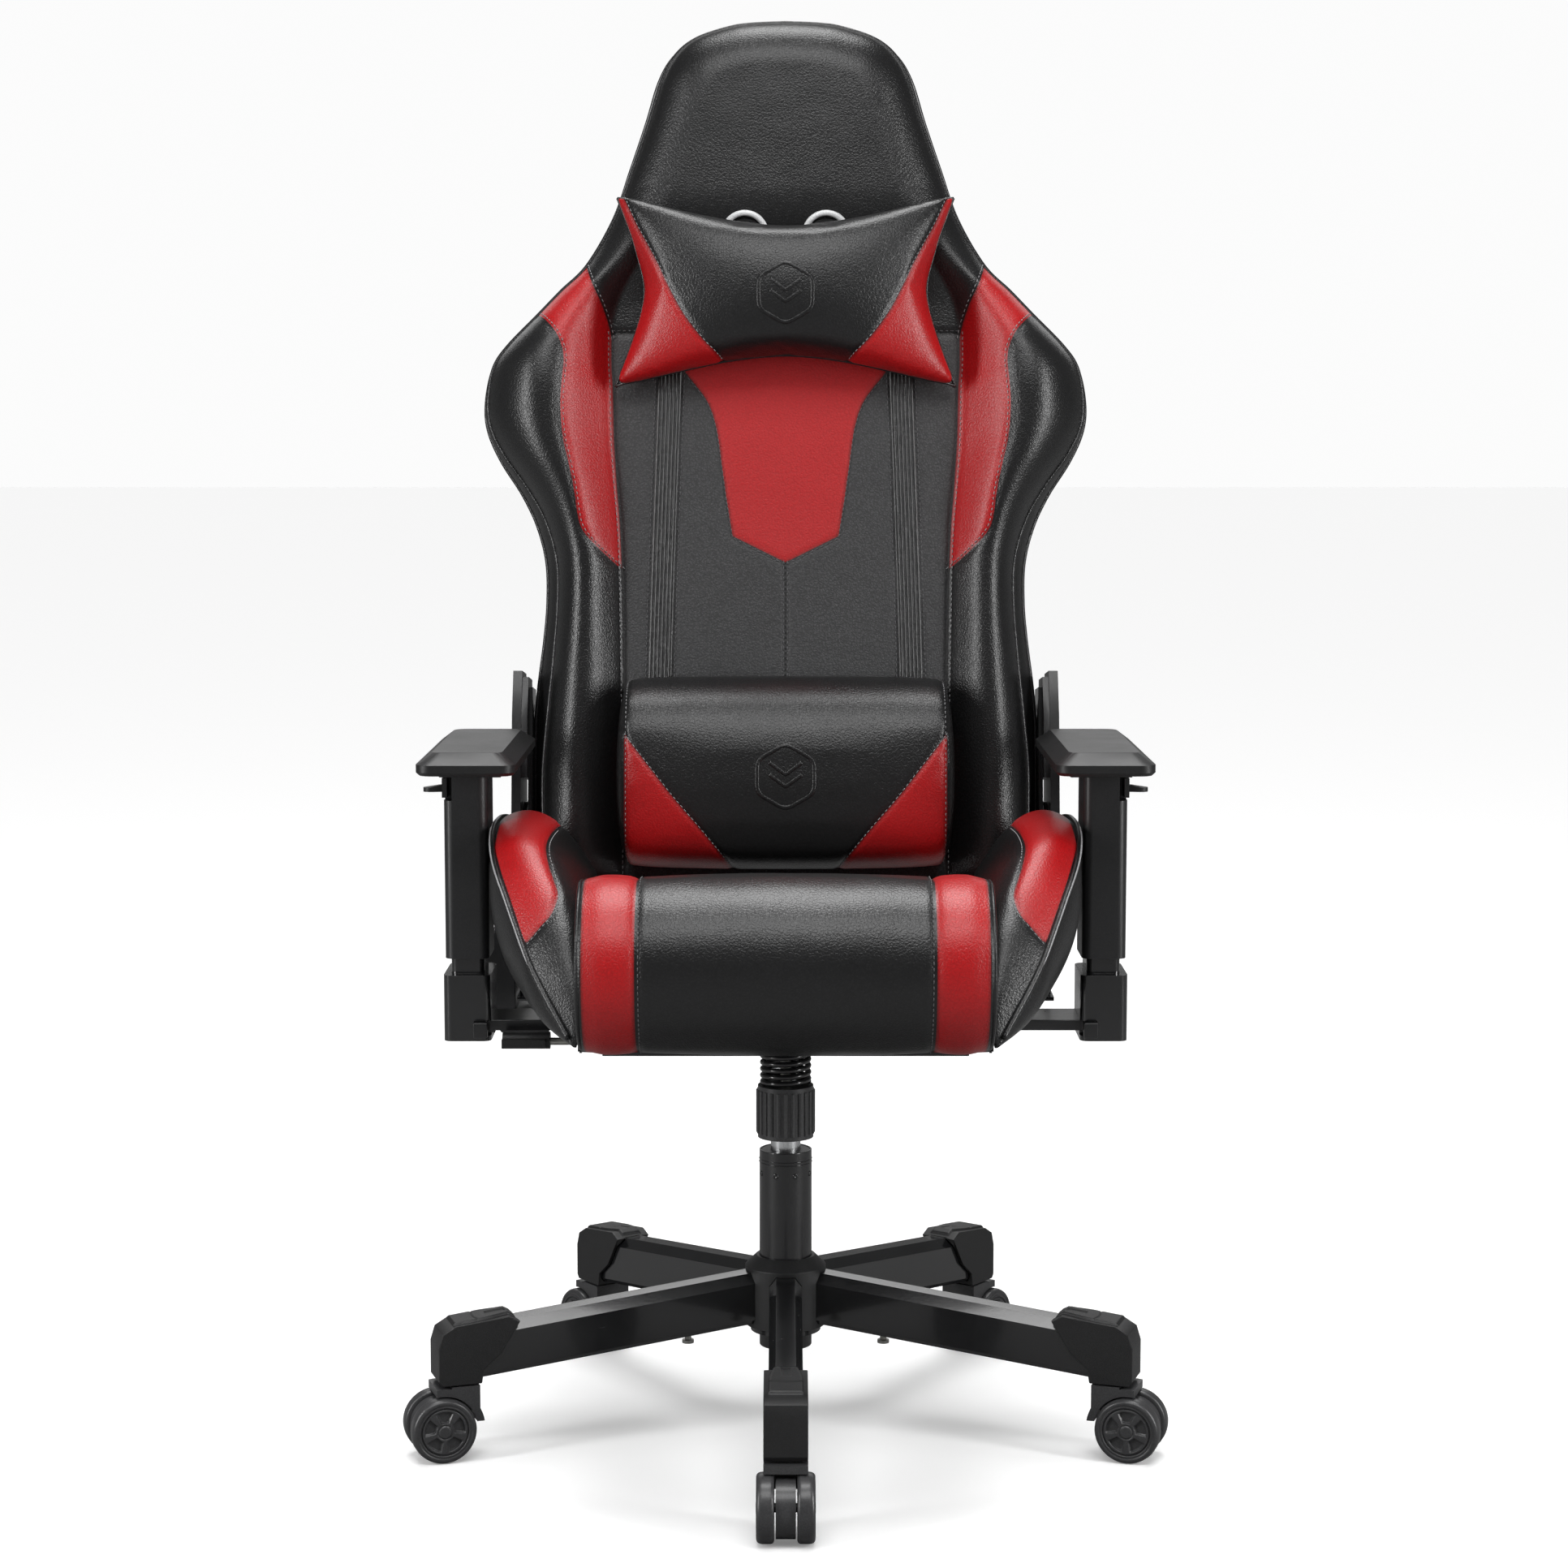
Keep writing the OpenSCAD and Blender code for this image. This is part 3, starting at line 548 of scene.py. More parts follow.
def woven(name, colour, light):
    """Woven tape: two crossing sets of threads."""
    s = Shade(name, 0.85, sheen=0.3)
    threads_per_metre = 4500.0
    split = s.node("ShaderNodeSeparateXYZ")
    s.put(s.where, split.inputs[0])
    across = s.math("SINE", s.times(split.outputs[0], threads_per_metre))
    along = s.math("SINE", s.times(s.add(split.outputs[1], split.outputs[2]), threads_per_metre))
    weave = s.add(s.times(across, along), s.noise(900, 2.0))
    s.colour(s.mix(s.ramp(weave, -0.6, 1.6), colour, light))
    s.roughness(s.ramp(weave, -1.0, 2.0, 0.9, 0.72))
    s.bump(weave, 0.5, 0.0004)
    return s.mat


def thread(name, colour, light):
    """Twisted sewing thread."""
    s = Shade(name, 0.55, sheen=0.2)
    twist = s.noise(2600, 1.0, 0.5)
    s.colour(s.mix(s.ramp(twist, 0.35, 0.65), colour, light))
    s.roughness(s.ramp(twist, 0.3, 0.7, 0.6, 0.45))
    s.bump(twist, 0.4, 0.0002)
    return s.mat


HIDE = leather("panelled_leather", masks=True)
PLAIN_HIDE = leather("plain_black_leather")
PIPING = leather("black_piping_leather", black=(0.008, 0.008, 0.0085))
RIB = leather("ribbed_tape_leather", black=(0.006, 0.006, 0.0063))
EMBLEM = leather("emblem_leather", black=(0.0045, 0.0045, 0.0048))
GLOSS = painted("gloss_black_powder_coat", (0.0055, 0.0057, 0.0062), 0.20, 0.8)
SATIN = painted("satin_black_powder_coat", (0.0080, 0.0080, 0.0086), 0.30, 0.35, 0.2)
SPRING = painted("oiled_spring_steel", (0.0070, 0.0070, 0.0075), 0.28, 0.5)
CAP = moulded("textured_black_nylon", (0.0080, 0.0080, 0.0084), 0.44, 1100, 0.55)
HINGE_COVER = moulded("satin_cover_plastic", (0.0120, 0.0120, 0.0128), 0.38, 1300, 0.22, coat=0.15)
NYLON = moulded("caster_nylon", (0.0330, 0.0330, 0.0345), 0.36, 700, 0.12, coat=0.15)
KNOB = moulded("knob_plastic", (0.0330, 0.0330, 0.0340), 0.38, 500, 0.2, coat=0.1)
PAD = moulded("soft_polyurethane", (0.0070, 0.0070, 0.0074), 0.42, 1500, 0.3)
EYELET = moulded("silver_eyelet", (0.72, 0.725, 0.73), 0.30, 900, 0.05, coat=0.4, worn=0.2)
CHROME = metal("polished_cylinder", (0.78, 0.79, 0.80), (0.624, 0.632, 0.64), 0.26, (1, 1, 0.02), 0.06)
ZINC = metal("zinc_plated_steel", (0.46, 0.46, 0.45), (0.38, 0.37, 0.33), 0.34, (1, 1, 1), 0.2)
TAPE = woven("black_woven_tape", (0.010, 0.010, 0.0105), (0.030, 0.030, 0.031))
THREAD_GREY = thread("grey_thread", (0.16, 0.16, 0.165), (0.34, 0.34, 0.35))
THREAD_DARK = thread("dark_thread", (0.045, 0.045, 0.047), (0.10, 0.10, 0.104))
THREAD_RED = thread("red_thread", (0.26, 0.02, 0.02), (0.50, 0.05, 0.05))
SILVER_PIPING = thread("silver_piping", (0.24, 0.24, 0.245), (0.42, 0.42, 0.43))


# ---------------------------------------------------------------- backrest: lines and surface

# Half outline of the backrest (x, u), from the crown down
OUTLINE = spline([(0, 813), (34, 811.5), (58, 808), (91, 797), (112, 781), (126, 756), (138, 716),
                  (154, 668), (171, 619), (199, 570), (224, 545), (247, 521), (278, 489), (292, 466),
                  (298, 432), (295, 405), (282, 376), (261, 343), (246, 311), (237, 275), (236, 235),
                  (239, 198), (245, 150), (248, 110), (248, 40), (247, -20), (240, -50)])
# Half line of the front piping; the boxing shows outside of it on the lower part
FRONT_EDGE = spline([(0, 808), (34, 806.5), (56, 803), (87, 792.5), (107, 777), (121, 753), (133, 714),
                     (149, 666), (167, 616), (195, 567), (221, 541), (244, 517), (274, 486), (288, 464),
                     (293, 432), (290, 405), (276, 377), (256, 349), (237, 316), (225, 275), (224, 231),
                     (228, 178), (233, 128), (238, 70), (238, 18), (237, -24), (231, -50)])
PIPING_DEPTH = -30.0
# Edge of the middle panel, from the bottom up to the seam under the headrest
MIDDLE_SEAM_U = 497.0
MIDDLE_TOP = [(161, 267), (163, 311), (166, 347), (169, 394), (170, 442), (171.5, 466)]
MIDDLE = spline([(157, -50), (157, 60), (159, 164)] + MIDDLE_TOP + [(171.5, MIDDLE_SEAM_U)])
SHIELD_HALF = np.vstack([[(124, 497), (108, 472)], spline([(95, 454), (77, 430), (68, 404), (63, 370)]),
                         [(58, 334), (52, 297), (0, 271)]])
SHIELD = np.vstack([SHIELD_HALF, mirrored(SHIELD_HALF)[::-1][1:]])
WING_OUTER = spline([(243, 516), (233, 505), (225, 495), (219, 483), (216, 468), (217.5, 448),
                     (219, 424), (217, 392), (211, 365), (206, 340), (203, 318), (200, 305), (193, 294),
                     (179, 280), (160.5, 264)])
WING_INNER = spline([(171.5, 493), (175, 508), (181, 525), (190, 545), (197, 566)])
WING = np.vstack([[(204, 576), (252, 530)], WING_OUTER, MIDDLE_TOP, WING_INNER])
# Half width of the headrest's flat field (u, x), and how far the side rolls stand proud (u, mm)
FIELD = spline([(470, 171.8), (497, 171), (530, 164), (565, 145), (610, 117), (660, 101), (720, 88),
                (770, 68), (800, 34), (813, 0)])
ROLL = spline([(-50, 18), (0, 24), (100, 27), (200, 27), (280, 28), (330, 34), (380, 42), (440, 46),
               (480, 41), (510, 31), (540, 19), (570, 9), (600, 3), (640, 0)])
RIBBED_TAPE = spline([(123.5, -20), (123, 165), (113.5, 454), (112.5, 497)])
TAPE_HALF = 12.5
# Front seams: the line, and its groove's depth and width
SEAMS = {
    "middle": (MIDDLE, 3.2, 3.2),
    "shoulder": (np.array([(0, MIDDLE_SEAM_U), (171.5, MIDDLE_SEAM_U)]), 2.4, 2.6),
    "wing_outer": (WING_OUTER, 1.8, 2.6),
    "wing_inner": (WING_INNER, 1.8, 2.6),
    "shield": (SHIELD_HALF, 1.4, 2.2),
    "spine": (np.array([(0, 271), (0, -40)]), 2.0, 2.4),
    "tape_in": (RIBBED_TAPE - [TAPE_HALF, 0], 0.9, 1.8),
    "tape_out": (RIBBED_TAPE + [TAPE_HALF, 0], 0.9, 1.8),
}
# Rear seams: points of the line, and its groove's depth
REAR_SEAMS = [
    ([(136, -44), (140, 120), (146, 300), (150, 470)], 1.8),
    ([(0, 470), (150, 470), (262, 470)], 1.6),
    ([(150, 470), (128, 560), (104, 680), (84, 770)], 1.6),
]
REAR_GROOVE = 2.8


def half_width(line, u):
    order = np.argsort(line[:, 1])
    return np.interp(u, line[order, 1], line[order, 0])


def panel_width(u):
    """Half width of the middle panel, and above its seam of the headrest's flat field."""
    low = np.interp(u, MIDDLE[:, 1], MIDDLE[:, 0])
    high = np.interp(u, FIELD[:, 0], FIELD[:, 1])
    return np.minimum(np.where(u <= MIDDLE_SEAM_U, low, high), 0.8 * half_width(FRONT_EDGE, u))


def front_depth(x, u):
    """Depth of the backrest's front surface, without its seams."""
    x, u = np.abs(np.asarray(x, float)), np.asarray(u, float)
    shape = np.broadcast(x, u).shape
    x, u = (np.broadcast_to(a, shape).ravel() for a in (x, u))
    dist = line_distance(np.stack([x, u], 1), FRONT_EDGE)
    dist = np.minimum(dist, u - BACK_BOTTOM)
    c, w = panel_width(u), half_width(FRONT_EDGE, u)
    head = smoothstep(520, 640, u)
    field = 46 + 3.5 * (1 - (x / 170) ** 2) + head * (15 + 5 * (1 - (x / 120) ** 2))
    base = -PIPING_DEPTH + (field + PIPING_DEPTH) * edge_round(dist, 16 + head * 34)
    t = np.clip((x - c) / np.maximum(w - c, 1), 0, 1) ** 1.25
    roll = np.interp(u, ROLL[:, 0], ROLL[:, 1]) * np.sin(math.pi * t) ** 0.85
    roll *= edge_round(u - BACK_BOTTOM, 30)
    return (-(base + roll)).reshape(shape)


def on_front(line, lift=0.0):
    """Points of the front surface over a line of (x, u), raised towards the sitter by lift."""
    x, u = np.asarray(line, float).T
    return back_point(x, u, front_depth(x, u) - lift)


def front_ups(line, step=1.5):
    """The front surface's outward directions over a line."""
    x, u = np.asarray(line, float).T
    dx = on_front(np.stack([x + step, u], 1)) - on_front(np.stack([x - step, u], 1))
    du = on_front(np.stack([x, u + step], 1)) - on_front(np.stack([x, u - step], 1))
    n = unit(np.cross(dx, du))
    return n * np.where(n[:, 1:2] > 0, -1, 1)


FRONT, BOXING, REAR = 0, 1, 2


def upholstery():
    """The backrest's cover as a closed shell of rings, from the bottom to the crown: points (x, u, d),
    faces, and for each point whether it is on the front, the boxing or the rear."""
    low = BACK_BOTTOM + 30 * (1 - np.cos(np.linspace(0, math.pi / 2, 12)))
    top = 768 + 44.2 * np.sin(np.linspace(0, math.pi / 2, 30))
    rows = np.unique(np.round(np.concatenate([low, np.arange(-16, 768, 3.4), top]), 3))
    inner, outer, boxing = 50, 34, 9
    n_front = 2 * (inner + outer) - 1
    n_ring = 2 * n_front + 2 * boxing
    drop = 5.3 * smoothstep(730, 812, rows)  # the crown's front edge is lower than its rear edge
    xs, ws, sides = [], half_width(FRONT_EDGE, rows - drop), half_width(OUTLINE, rows)
    for c, w in zip(panel_width(rows - drop), ws):
        x = np.concatenate([np.linspace(0, c, inner, endpoint=False),
                            c + (w - c) * np.sin(np.linspace(0, math.pi / 2, outer))])
        xs.append(np.concatenate([-x[::-1], x[1:]]))
    xs = np.array(xs)
    us = np.repeat(rows[:, None], n_front, 1)
    fronts = us - drop[:, None]
    depth = front_depth(xs, fronts)
    rear_x = xs * (sides / np.maximum(ws, 1e-6))[:, None]
    rear_pts = np.stack([np.abs(rear_x).ravel(), us.ravel()], 1)
    rear_dist = np.minimum(line_distance(rear_pts, OUTLINE), rear_pts[:, 1] - BACK_BOTTOM)
    belly = 1.5 * (1 - np.minimum(rear_pts[:, 0] / 250, 1) ** 2)
    rear = (1.0 + 26.0 * edge_round(rear_dist, 24) + belly).reshape(xs.shape)
    k = np.arange(1, boxing + 1) / (boxing + 1)
    d_box = PIPING_DEPTH + (1.0 - PIPING_DEPTH) * k
    verts = []
    for i, u in enumerate(rows):
        x_box = ws[i] + (sides[i] - ws[i]) * k + 2.2 * np.sin(math.pi * k)
        u_box = u - drop[i] * (1 - k)
        verts.append(np.stack([np.concatenate([xs[i], x_box, rear_x[i][::-1], -x_box[::-1]]),
                               np.concatenate([fronts[i], u_box, us[i], u_box[::-1]]),
                               np.concatenate([depth[i], d_box, rear[i][::-1], d_box[::-1]])], 1))
    kind = np.tile(np.repeat([FRONT, BOXING, REAR, BOXING], [n_front, boxing, n_front, boxing]), len(rows))
    faces = grid_faces(len(rows), n_ring, True)
    for row, turn in ((0, -1), (len(rows) - 1, 1)):
        start = row * n_ring
        for i in range(n_front - 1):
            c = start + n_front + boxing + (n_front - 1 - i)
            faces.append([start + i, start + i + 1, c - 1, c][::turn])
        right = list(range(start + n_front - 1, start + n_front + boxing + 1))
        left = list(range(start + 2 * n_front + boxing - 1, start + n_ring)) + [start]
        faces += [right[::turn], left[::turn]]
    return np.concatenate(verts), faces, kind


def back_panels(x, u, front):
    """How far points are inside the red and grey panels, and from the nearest seam of a panel."""
    pts = np.stack([np.abs(x), u], 1)
    red = np.maximum(signed_distance(pts, WING), signed_distance(pts, SHIELD))
    grey_poly = np.vstack([MIDDLE, [(0, MIDDLE_SEAM_U), (0, -60), (157, -60)]])
    near_spine = (u < MIDDLE_SEAM_U) & (pts[:, 0] < 20)
    grey = np.maximum(signed_distance(pts, grey_poly),
                      np.where(near_spine, np.minimum(MIDDLE_SEAM_U - u, 40), -99))
    seam = np.full(len(x), 99.0)
    for name in ("middle", "shoulder", "wing_outer", "wing_inner", "shield", "spine"):
        seam = np.minimum(seam, line_distance(pts, SEAMS[name][0]))
    return np.where(front, red, -9), np.where(front, seam, 9), np.where(front, grey, -9)


def backrest():
    """The backrest's cover, with its seams and faint waves, and the two strap holes cut through it."""
    points, faces, kind = upholstery()
    x, u, d = points.T
    front, rear = kind == FRONT, kind == REAR
    pts = np.stack([np.abs(x), u], 1)
    front_dent, rear_dent = np.zeros(len(x)), np.zeros(len(x))
    for line, deep, wide in SEAMS.values():
        front_dent = np.maximum(front_dent, deep * dip(line_distance(pts, line), wide))
    for line, deep in REAR_SEAMS:
        rear_dent = np.maximum(rear_dent, deep * dip(line_distance(pts, spline(line)), REAR_GROOVE))
    d = d + np.where(front, front_dent, 0) - np.where(rear, rear_dent, 0)
    wave = np.array([noise(Vector((a * 0.011, b * 0.011, c * 0.02 + 4))) for a, b, c in zip(x, u, d)])
    fine = np.array([noise(Vector((a * 0.03, b * 0.03, 9.0))) for a, b in zip(x, u)])
    d = d - np.select([front, rear], [1, -0.6], 0) * (0.9 * wave + 0.25 * fine)
    cut = (np.hypot(np.abs(x) - EYELET_X, u - EYELET_U) < EYELET_HOLE) & (kind != BOXING)
    keep, used, rim = [], np.zeros(len(x), bool), np.zeros(len(x), bool)
    for f in faces:
        if any(cut[i] for i in f):
            rim[[i for i in f if not cut[i]]] = True
        else:
            keep.append(f)
            used[f] = True
    angle = np.arctan2(u - EYELET_U, np.abs(x) - EYELET_X)
    x = np.where(rim, np.where(x < 0, -1, 1) * (EYELET_X + EYELET_HOLE * np.cos(angle)), x)
    u = np.where(rim, EYELET_U + EYELET_HOLE * np.sin(angle), u)
    remap = np.cumsum(used) - 1
    obj = add_object("backrest_upholstery", back_point(x, u, d)[used], [[remap[i] for i in f] for f in keep])
    set_panels(obj, *back_panels(x[used], u[used], front[used]))
    finish_piece(obj, HIDE, "backrest", ("back_cushion", "back_rear_panel"))


def hole_rim(side, radius, n):
    """Points (x, u) of a circle round the strap hole on one side."""
    return side * EYELET_X + radius * np.cos(circle(n)), EYELET_U + radius * np.sin(circle(n))


def strap_holes():
    """The leather-lined walls of the two strap holes, and the silver rings standing round them."""
    linings, rings = [], []
    n, depths = 40, np.linspace(-58, 27, 8)
    for side in (-1, 1):
        x, u = hole_rim(side, EYELET_HOLE, n)
        linings.append((np.concatenate([back_point(x, u, d) for d in depths]),
                        grid_faces(len(depths), n, True, -side)))
        x, u = hole_rim(side, EYELET_HOLE + 2.2, 48)
        rings.append(tube(back_point(x, u, front_depth(x, u) - 0.6), 2.9 * MM, 12, closed=True))
    trim_piece("strap_hole_lining", linings, PLAIN_HIDE, "backrest")
    trim_piece("strap_hole_trims", rings, EYELET, "backrest")


def back_piping():
    """The piping along the front and the rear edge of the backrest's boxing."""
    for name, half, depth, radius in (("back_front_piping", FRONT_EDGE, PIPING_DEPTH - 0.6, 2.7),
                                      ("back_rear_piping", OUTLINE, 1.5, 2.4)):
        edge = resample(half[::-1], 4.0)
        loop = np.vstack([edge, mirrored(edge)[::-1][1:]])
        line = back_point(loop[:, 0], loop[:, 1], depth)
        trim_piece(name, [tube(line, radius * MM, 12)], PIPING, "backrest")


def back_stitches():
    """The grey thread along the panels' edges, and the dark thread in the middle field."""
    rows = []
    for name, shift in (("wing_outer", 2.4), ("wing_inner", -2.4), ("middle", 2.6)):
        line = resample(SEAMS[name][0], 2.0)
        t = np.gradient(line, axis=0)
        moved = line + shift * unit(np.stack([t[:, 1], -t[:, 0]], 1))
        for side in (1, -1):
            rows.append(stitch_row(on_front(moved * [side, 1], -0.2), front_ups(moved * [side, 1])))
    trim_piece("panel_edge_stitches", rows, THREAD_GREY, "backrest")
    shield = resample(SHIELD[2:-2], 2.0)
    rows = [stitch_row(on_front(shield + [0, -2.2]), front_ups(shield))]
    for name, shift in (("tape_in", -1.6), ("tape_out", 1.6)):
        for side in (1, -1):
            line = (resample(SEAMS[name][0], 3.0) + [shift, 0]) * [side, 1]
            rows.append(stitch_row(on_front(line), front_ups(line)))
    for shift in (-1.8, 1.8):
        spine = resample(SEAMS["spine"][0], 3.0) + [shift, 0]
        rows.append(stitch_row(on_front(spine, -0.6), front_ups(spine)))
    line = resample([(-169, MIDDLE_SEAM_U + 2.5), (169, MIDDLE_SEAM_U + 2.5)], 3.0)
    rows.append(stitch_row(on_front(line, -0.4), front_ups(line)))
    trim_piece("panel_field_stitches", rows, THREAD_DARK, "backrest")


def ribbed_tapes():
    """The two ribbed tapes down the middle panel."""
    ribs, steps = 6, 6
    k = np.arange(ribs * steps + 1)
    offsets = -TAPE_HALF + 1.4 + (2 * TAPE_HALF - 2.8) * k / (ribs * steps)
    rises = 0.9 + 0.75 * np.sin(math.pi * (k % steps) / steps)
    centre = resample(RIBBED_TAPE, 4.0)
    parts = []
    for side in (1, -1):
        grid = np.stack([on_front((centre + [off, 0]) * [side, 1], rise + 0.35)
                         for off, rise in zip(offsets, rises)], 1)
        parts.append((grid.reshape(-1, 3), grid_faces(*grid.shape[:2], False, side)))
    trim_piece("ribbed_tapes", parts, RIB, "backrest")


# ---------------------------------------------------------------- pillows

PILLOW_RAYS = -170.0  # depth from which rays look for a pillow's front


def emblem(name, tree, centre_u, depth, scale=1.0):
    """A plain rounded hexagon with two chevrons in it, as raised cord under the leather."""
    a = np.radians(60 * np.arange(6) + 30)
    hexagon = 30 * np.stack([np.cos(a), np.sin(a)], 1)
    outline = []
    for before, corner, after in zip(np.roll(hexagon, 1, 0), hexagon, np.roll(hexagon, -1, 0)):
        for t in np.linspace(0, 1, 7):
            outline.append(corner + (before - corner) * 0.25 * (1 - t) ** 2 + (after - corner) * 0.25 * t ** 2)
    chevrons = [([(-15, 2 + k), (0, -9 + k), (15, 2 + k)], False) for k in (0, 11)]
    section = np.array([(-2.4, -1.4), (-1.9, 0.35), (-0.9, 0.75), (0.9, 0.75), (1.9, 0.35), (2.4, -1.4)])
    parts = []
    for line, closed in [(outline, True)] + chevrons:
        line = resample(np.array(line) * scale, 1.5, closed) + [0, centre_u]
        pts, ups = cast(tree, back_point(line[:, 0], line[:, 1], depth), -BACK_FRONT)
        parts.append(sweep(pts, section * MM, ups + BACK_FRONT, closed))
    trim_piece(name, parts, EMBLEM, "backrest")


def seam_stitches(tree, seam, shift, depth):
    """Stitches beside a pillow's seam (x, u) on both sides, shifted away from it by (across, up)."""
    rows = []
    for side in (1, -1):
        line = resample(seam, 2.0) * [side, 1] + [shift[0] * side, shift[1]]
        rows.append(stitch_row(*cast(tree, back_point(line[:, 0], line[:, 1], depth), -BACK_FRONT)))
    return rows


def bow_point(a, b):
    """The head pillow's outline plane: a across and b up, each from -1 to 1."""
    corner = (np.abs(a) * np.abs(b)) ** 5
    x = a * (144 + 30 * np.abs(b) ** 1.5) * (1 - 0.025 * corner)
    u = 536 + b * (69 + 35 * np.abs(a) ** 1.8) * (1 - 0.09 * corner)
    return x, u - 2.0 * (1 - np.abs(a) ** 2)


def head_wall(a):
    """How far before the backrest's board the head pillow's rim lies, a from -1 to 1 across."""
    return 74 - 10 * np.abs(a) ** 2


def head_pillow():
    """The bow-shaped pillow on the headrest."""
    n, m, rim_half = 61, 41, 4.5
    a = np.sin(np.linspace(-1, 1, n) * math.pi / 2)
    b = np.sin(np.linspace(-1, 1, m) * math.pi / 2)
    a, b = np.meshgrid(a, b, indexing="ij")
    x, u = bow_point(a * 0.985, b * 0.985)
    thick = (np.maximum(1 - a ** 2, 0) ** 0.5 * np.maximum(1 - b ** 2, 0) ** 0.5) ** 0.75
    front = -head_wall(a) - 44 * thick - rim_half
    rear = np.minimum(-head_wall(a) + 22 * thick + rim_half, front_depth(x, u) - 3.0)
    rear = np.maximum(rear, front + 3)
    verts = [back_point(x, u, d).reshape(-1, 3) for d in (front, rear)]
    obj = add_object("head_pillow_cover", np.concatenate(verts), slab_faces(n, m))
    puffed(obj, 4.5 * MM, 9 * MM, pressure=3.0, frames=14, smooth=3)
    x, u, d = local_back(point_values(obj.data))
    d = np.minimum(d, np.maximum(front_depth(x, u) - 1.5, d - 30))
    set_coords(obj, back_point(x, u, d))
    seam = spline([(164, 638), (147, 599), (136, 578), (124, 555), (117, 540), (101, 509), (82, 483),
                   (66, 468), (56, 459), (44, 442)])
    pts = np.stack([np.abs(x), u], 1)
    facing = d < 2 - head_wall(np.minimum(np.abs(x) / 150, 1))
    near = line_distance(pts, seam)
    grooved(obj, np.where(facing, 1.4 * dip(near, 2.4), 0) * MM)
    red = signed_distance(pts, np.vstack([seam, [(200, 400), (230, 640)]]))
    set_panels(obj, red, np.where(facing, near, 9))
    finish_piece(obj, HIDE, "backrest", ("head_pillow",))
    tree = surface_of(obj)
    a, b = np.linspace(-1, 1, 70), np.linspace(-1, 1, 44)
    rim = [(s, -1) for s in a] + [(1, s) for s in b[1:]] + [(s, 1) for s in a[::-1][1:]] + \
          [(-1, s) for s in b[::-1][1:-1]]
    a, b = np.array(rim).T
    pts = []
    for start in back_point(*bow_point(a * 1.03, b * 1.03), -head_wall(a)):
        hit, normal, _, _ = tree.find_nearest(Vector(start))
        pts.append(hit - normal * 0.2 * MM)
    pts = np.array(pts)
    for _ in range(4):
        pts = (np.roll(pts, 1, axis=0) + 2 * pts + np.roll(pts, -1, axis=0)) / 4
    trim_piece("head_pillow_edge_seam", [tube(pts, 1.5 * MM, 8, closed=True)], PIPING, "backrest")
    rows = seam_stitches(tree, seam[2:-2], (-2.2, -0.6), PILLOW_RAYS)
    trim_piece("head_pillow_stitches", rows, THREAD_GREY, "backrest")
    emblem("head_pillow_emblem", tree, 524, PILLOW_RAYS)


LUMBAR_U, LUMBAR_D = 64.5, -90.5  # the axis of the lumbar pillow
LUMBAR_HALF, LUMBAR_SEAM = 154.0, 155.5  # where its ends begin to round, and its end seams


def lumbar_profile(n):
    """n points (u, d) round the lumbar pillow from its axis: flat behind, full above, drawn in below."""
    quarter = np.linspace(0, math.pi / 2, 24)
    over = np.stack([94 + 64 * np.cos(quarter), -58 - 73 * np.sin(quarter)], 1)
    belly = np.stack([6 - 35 * np.sin(quarter), -60 - 70 * np.cos(quarter)], 1)
    loop = np.vstack([[(LUMBAR_U, -50), (140, -50), (151, -52)], over, [(50, -132.5)], belly,
                      [(-24, -53), (-12, -50)]])
    loop = resample(loop, 2.0, True)
    return loop[np.linspace(0, len(loop), n, endpoint=False).astype(int)] - [LUMBAR_U, LUMBAR_D]


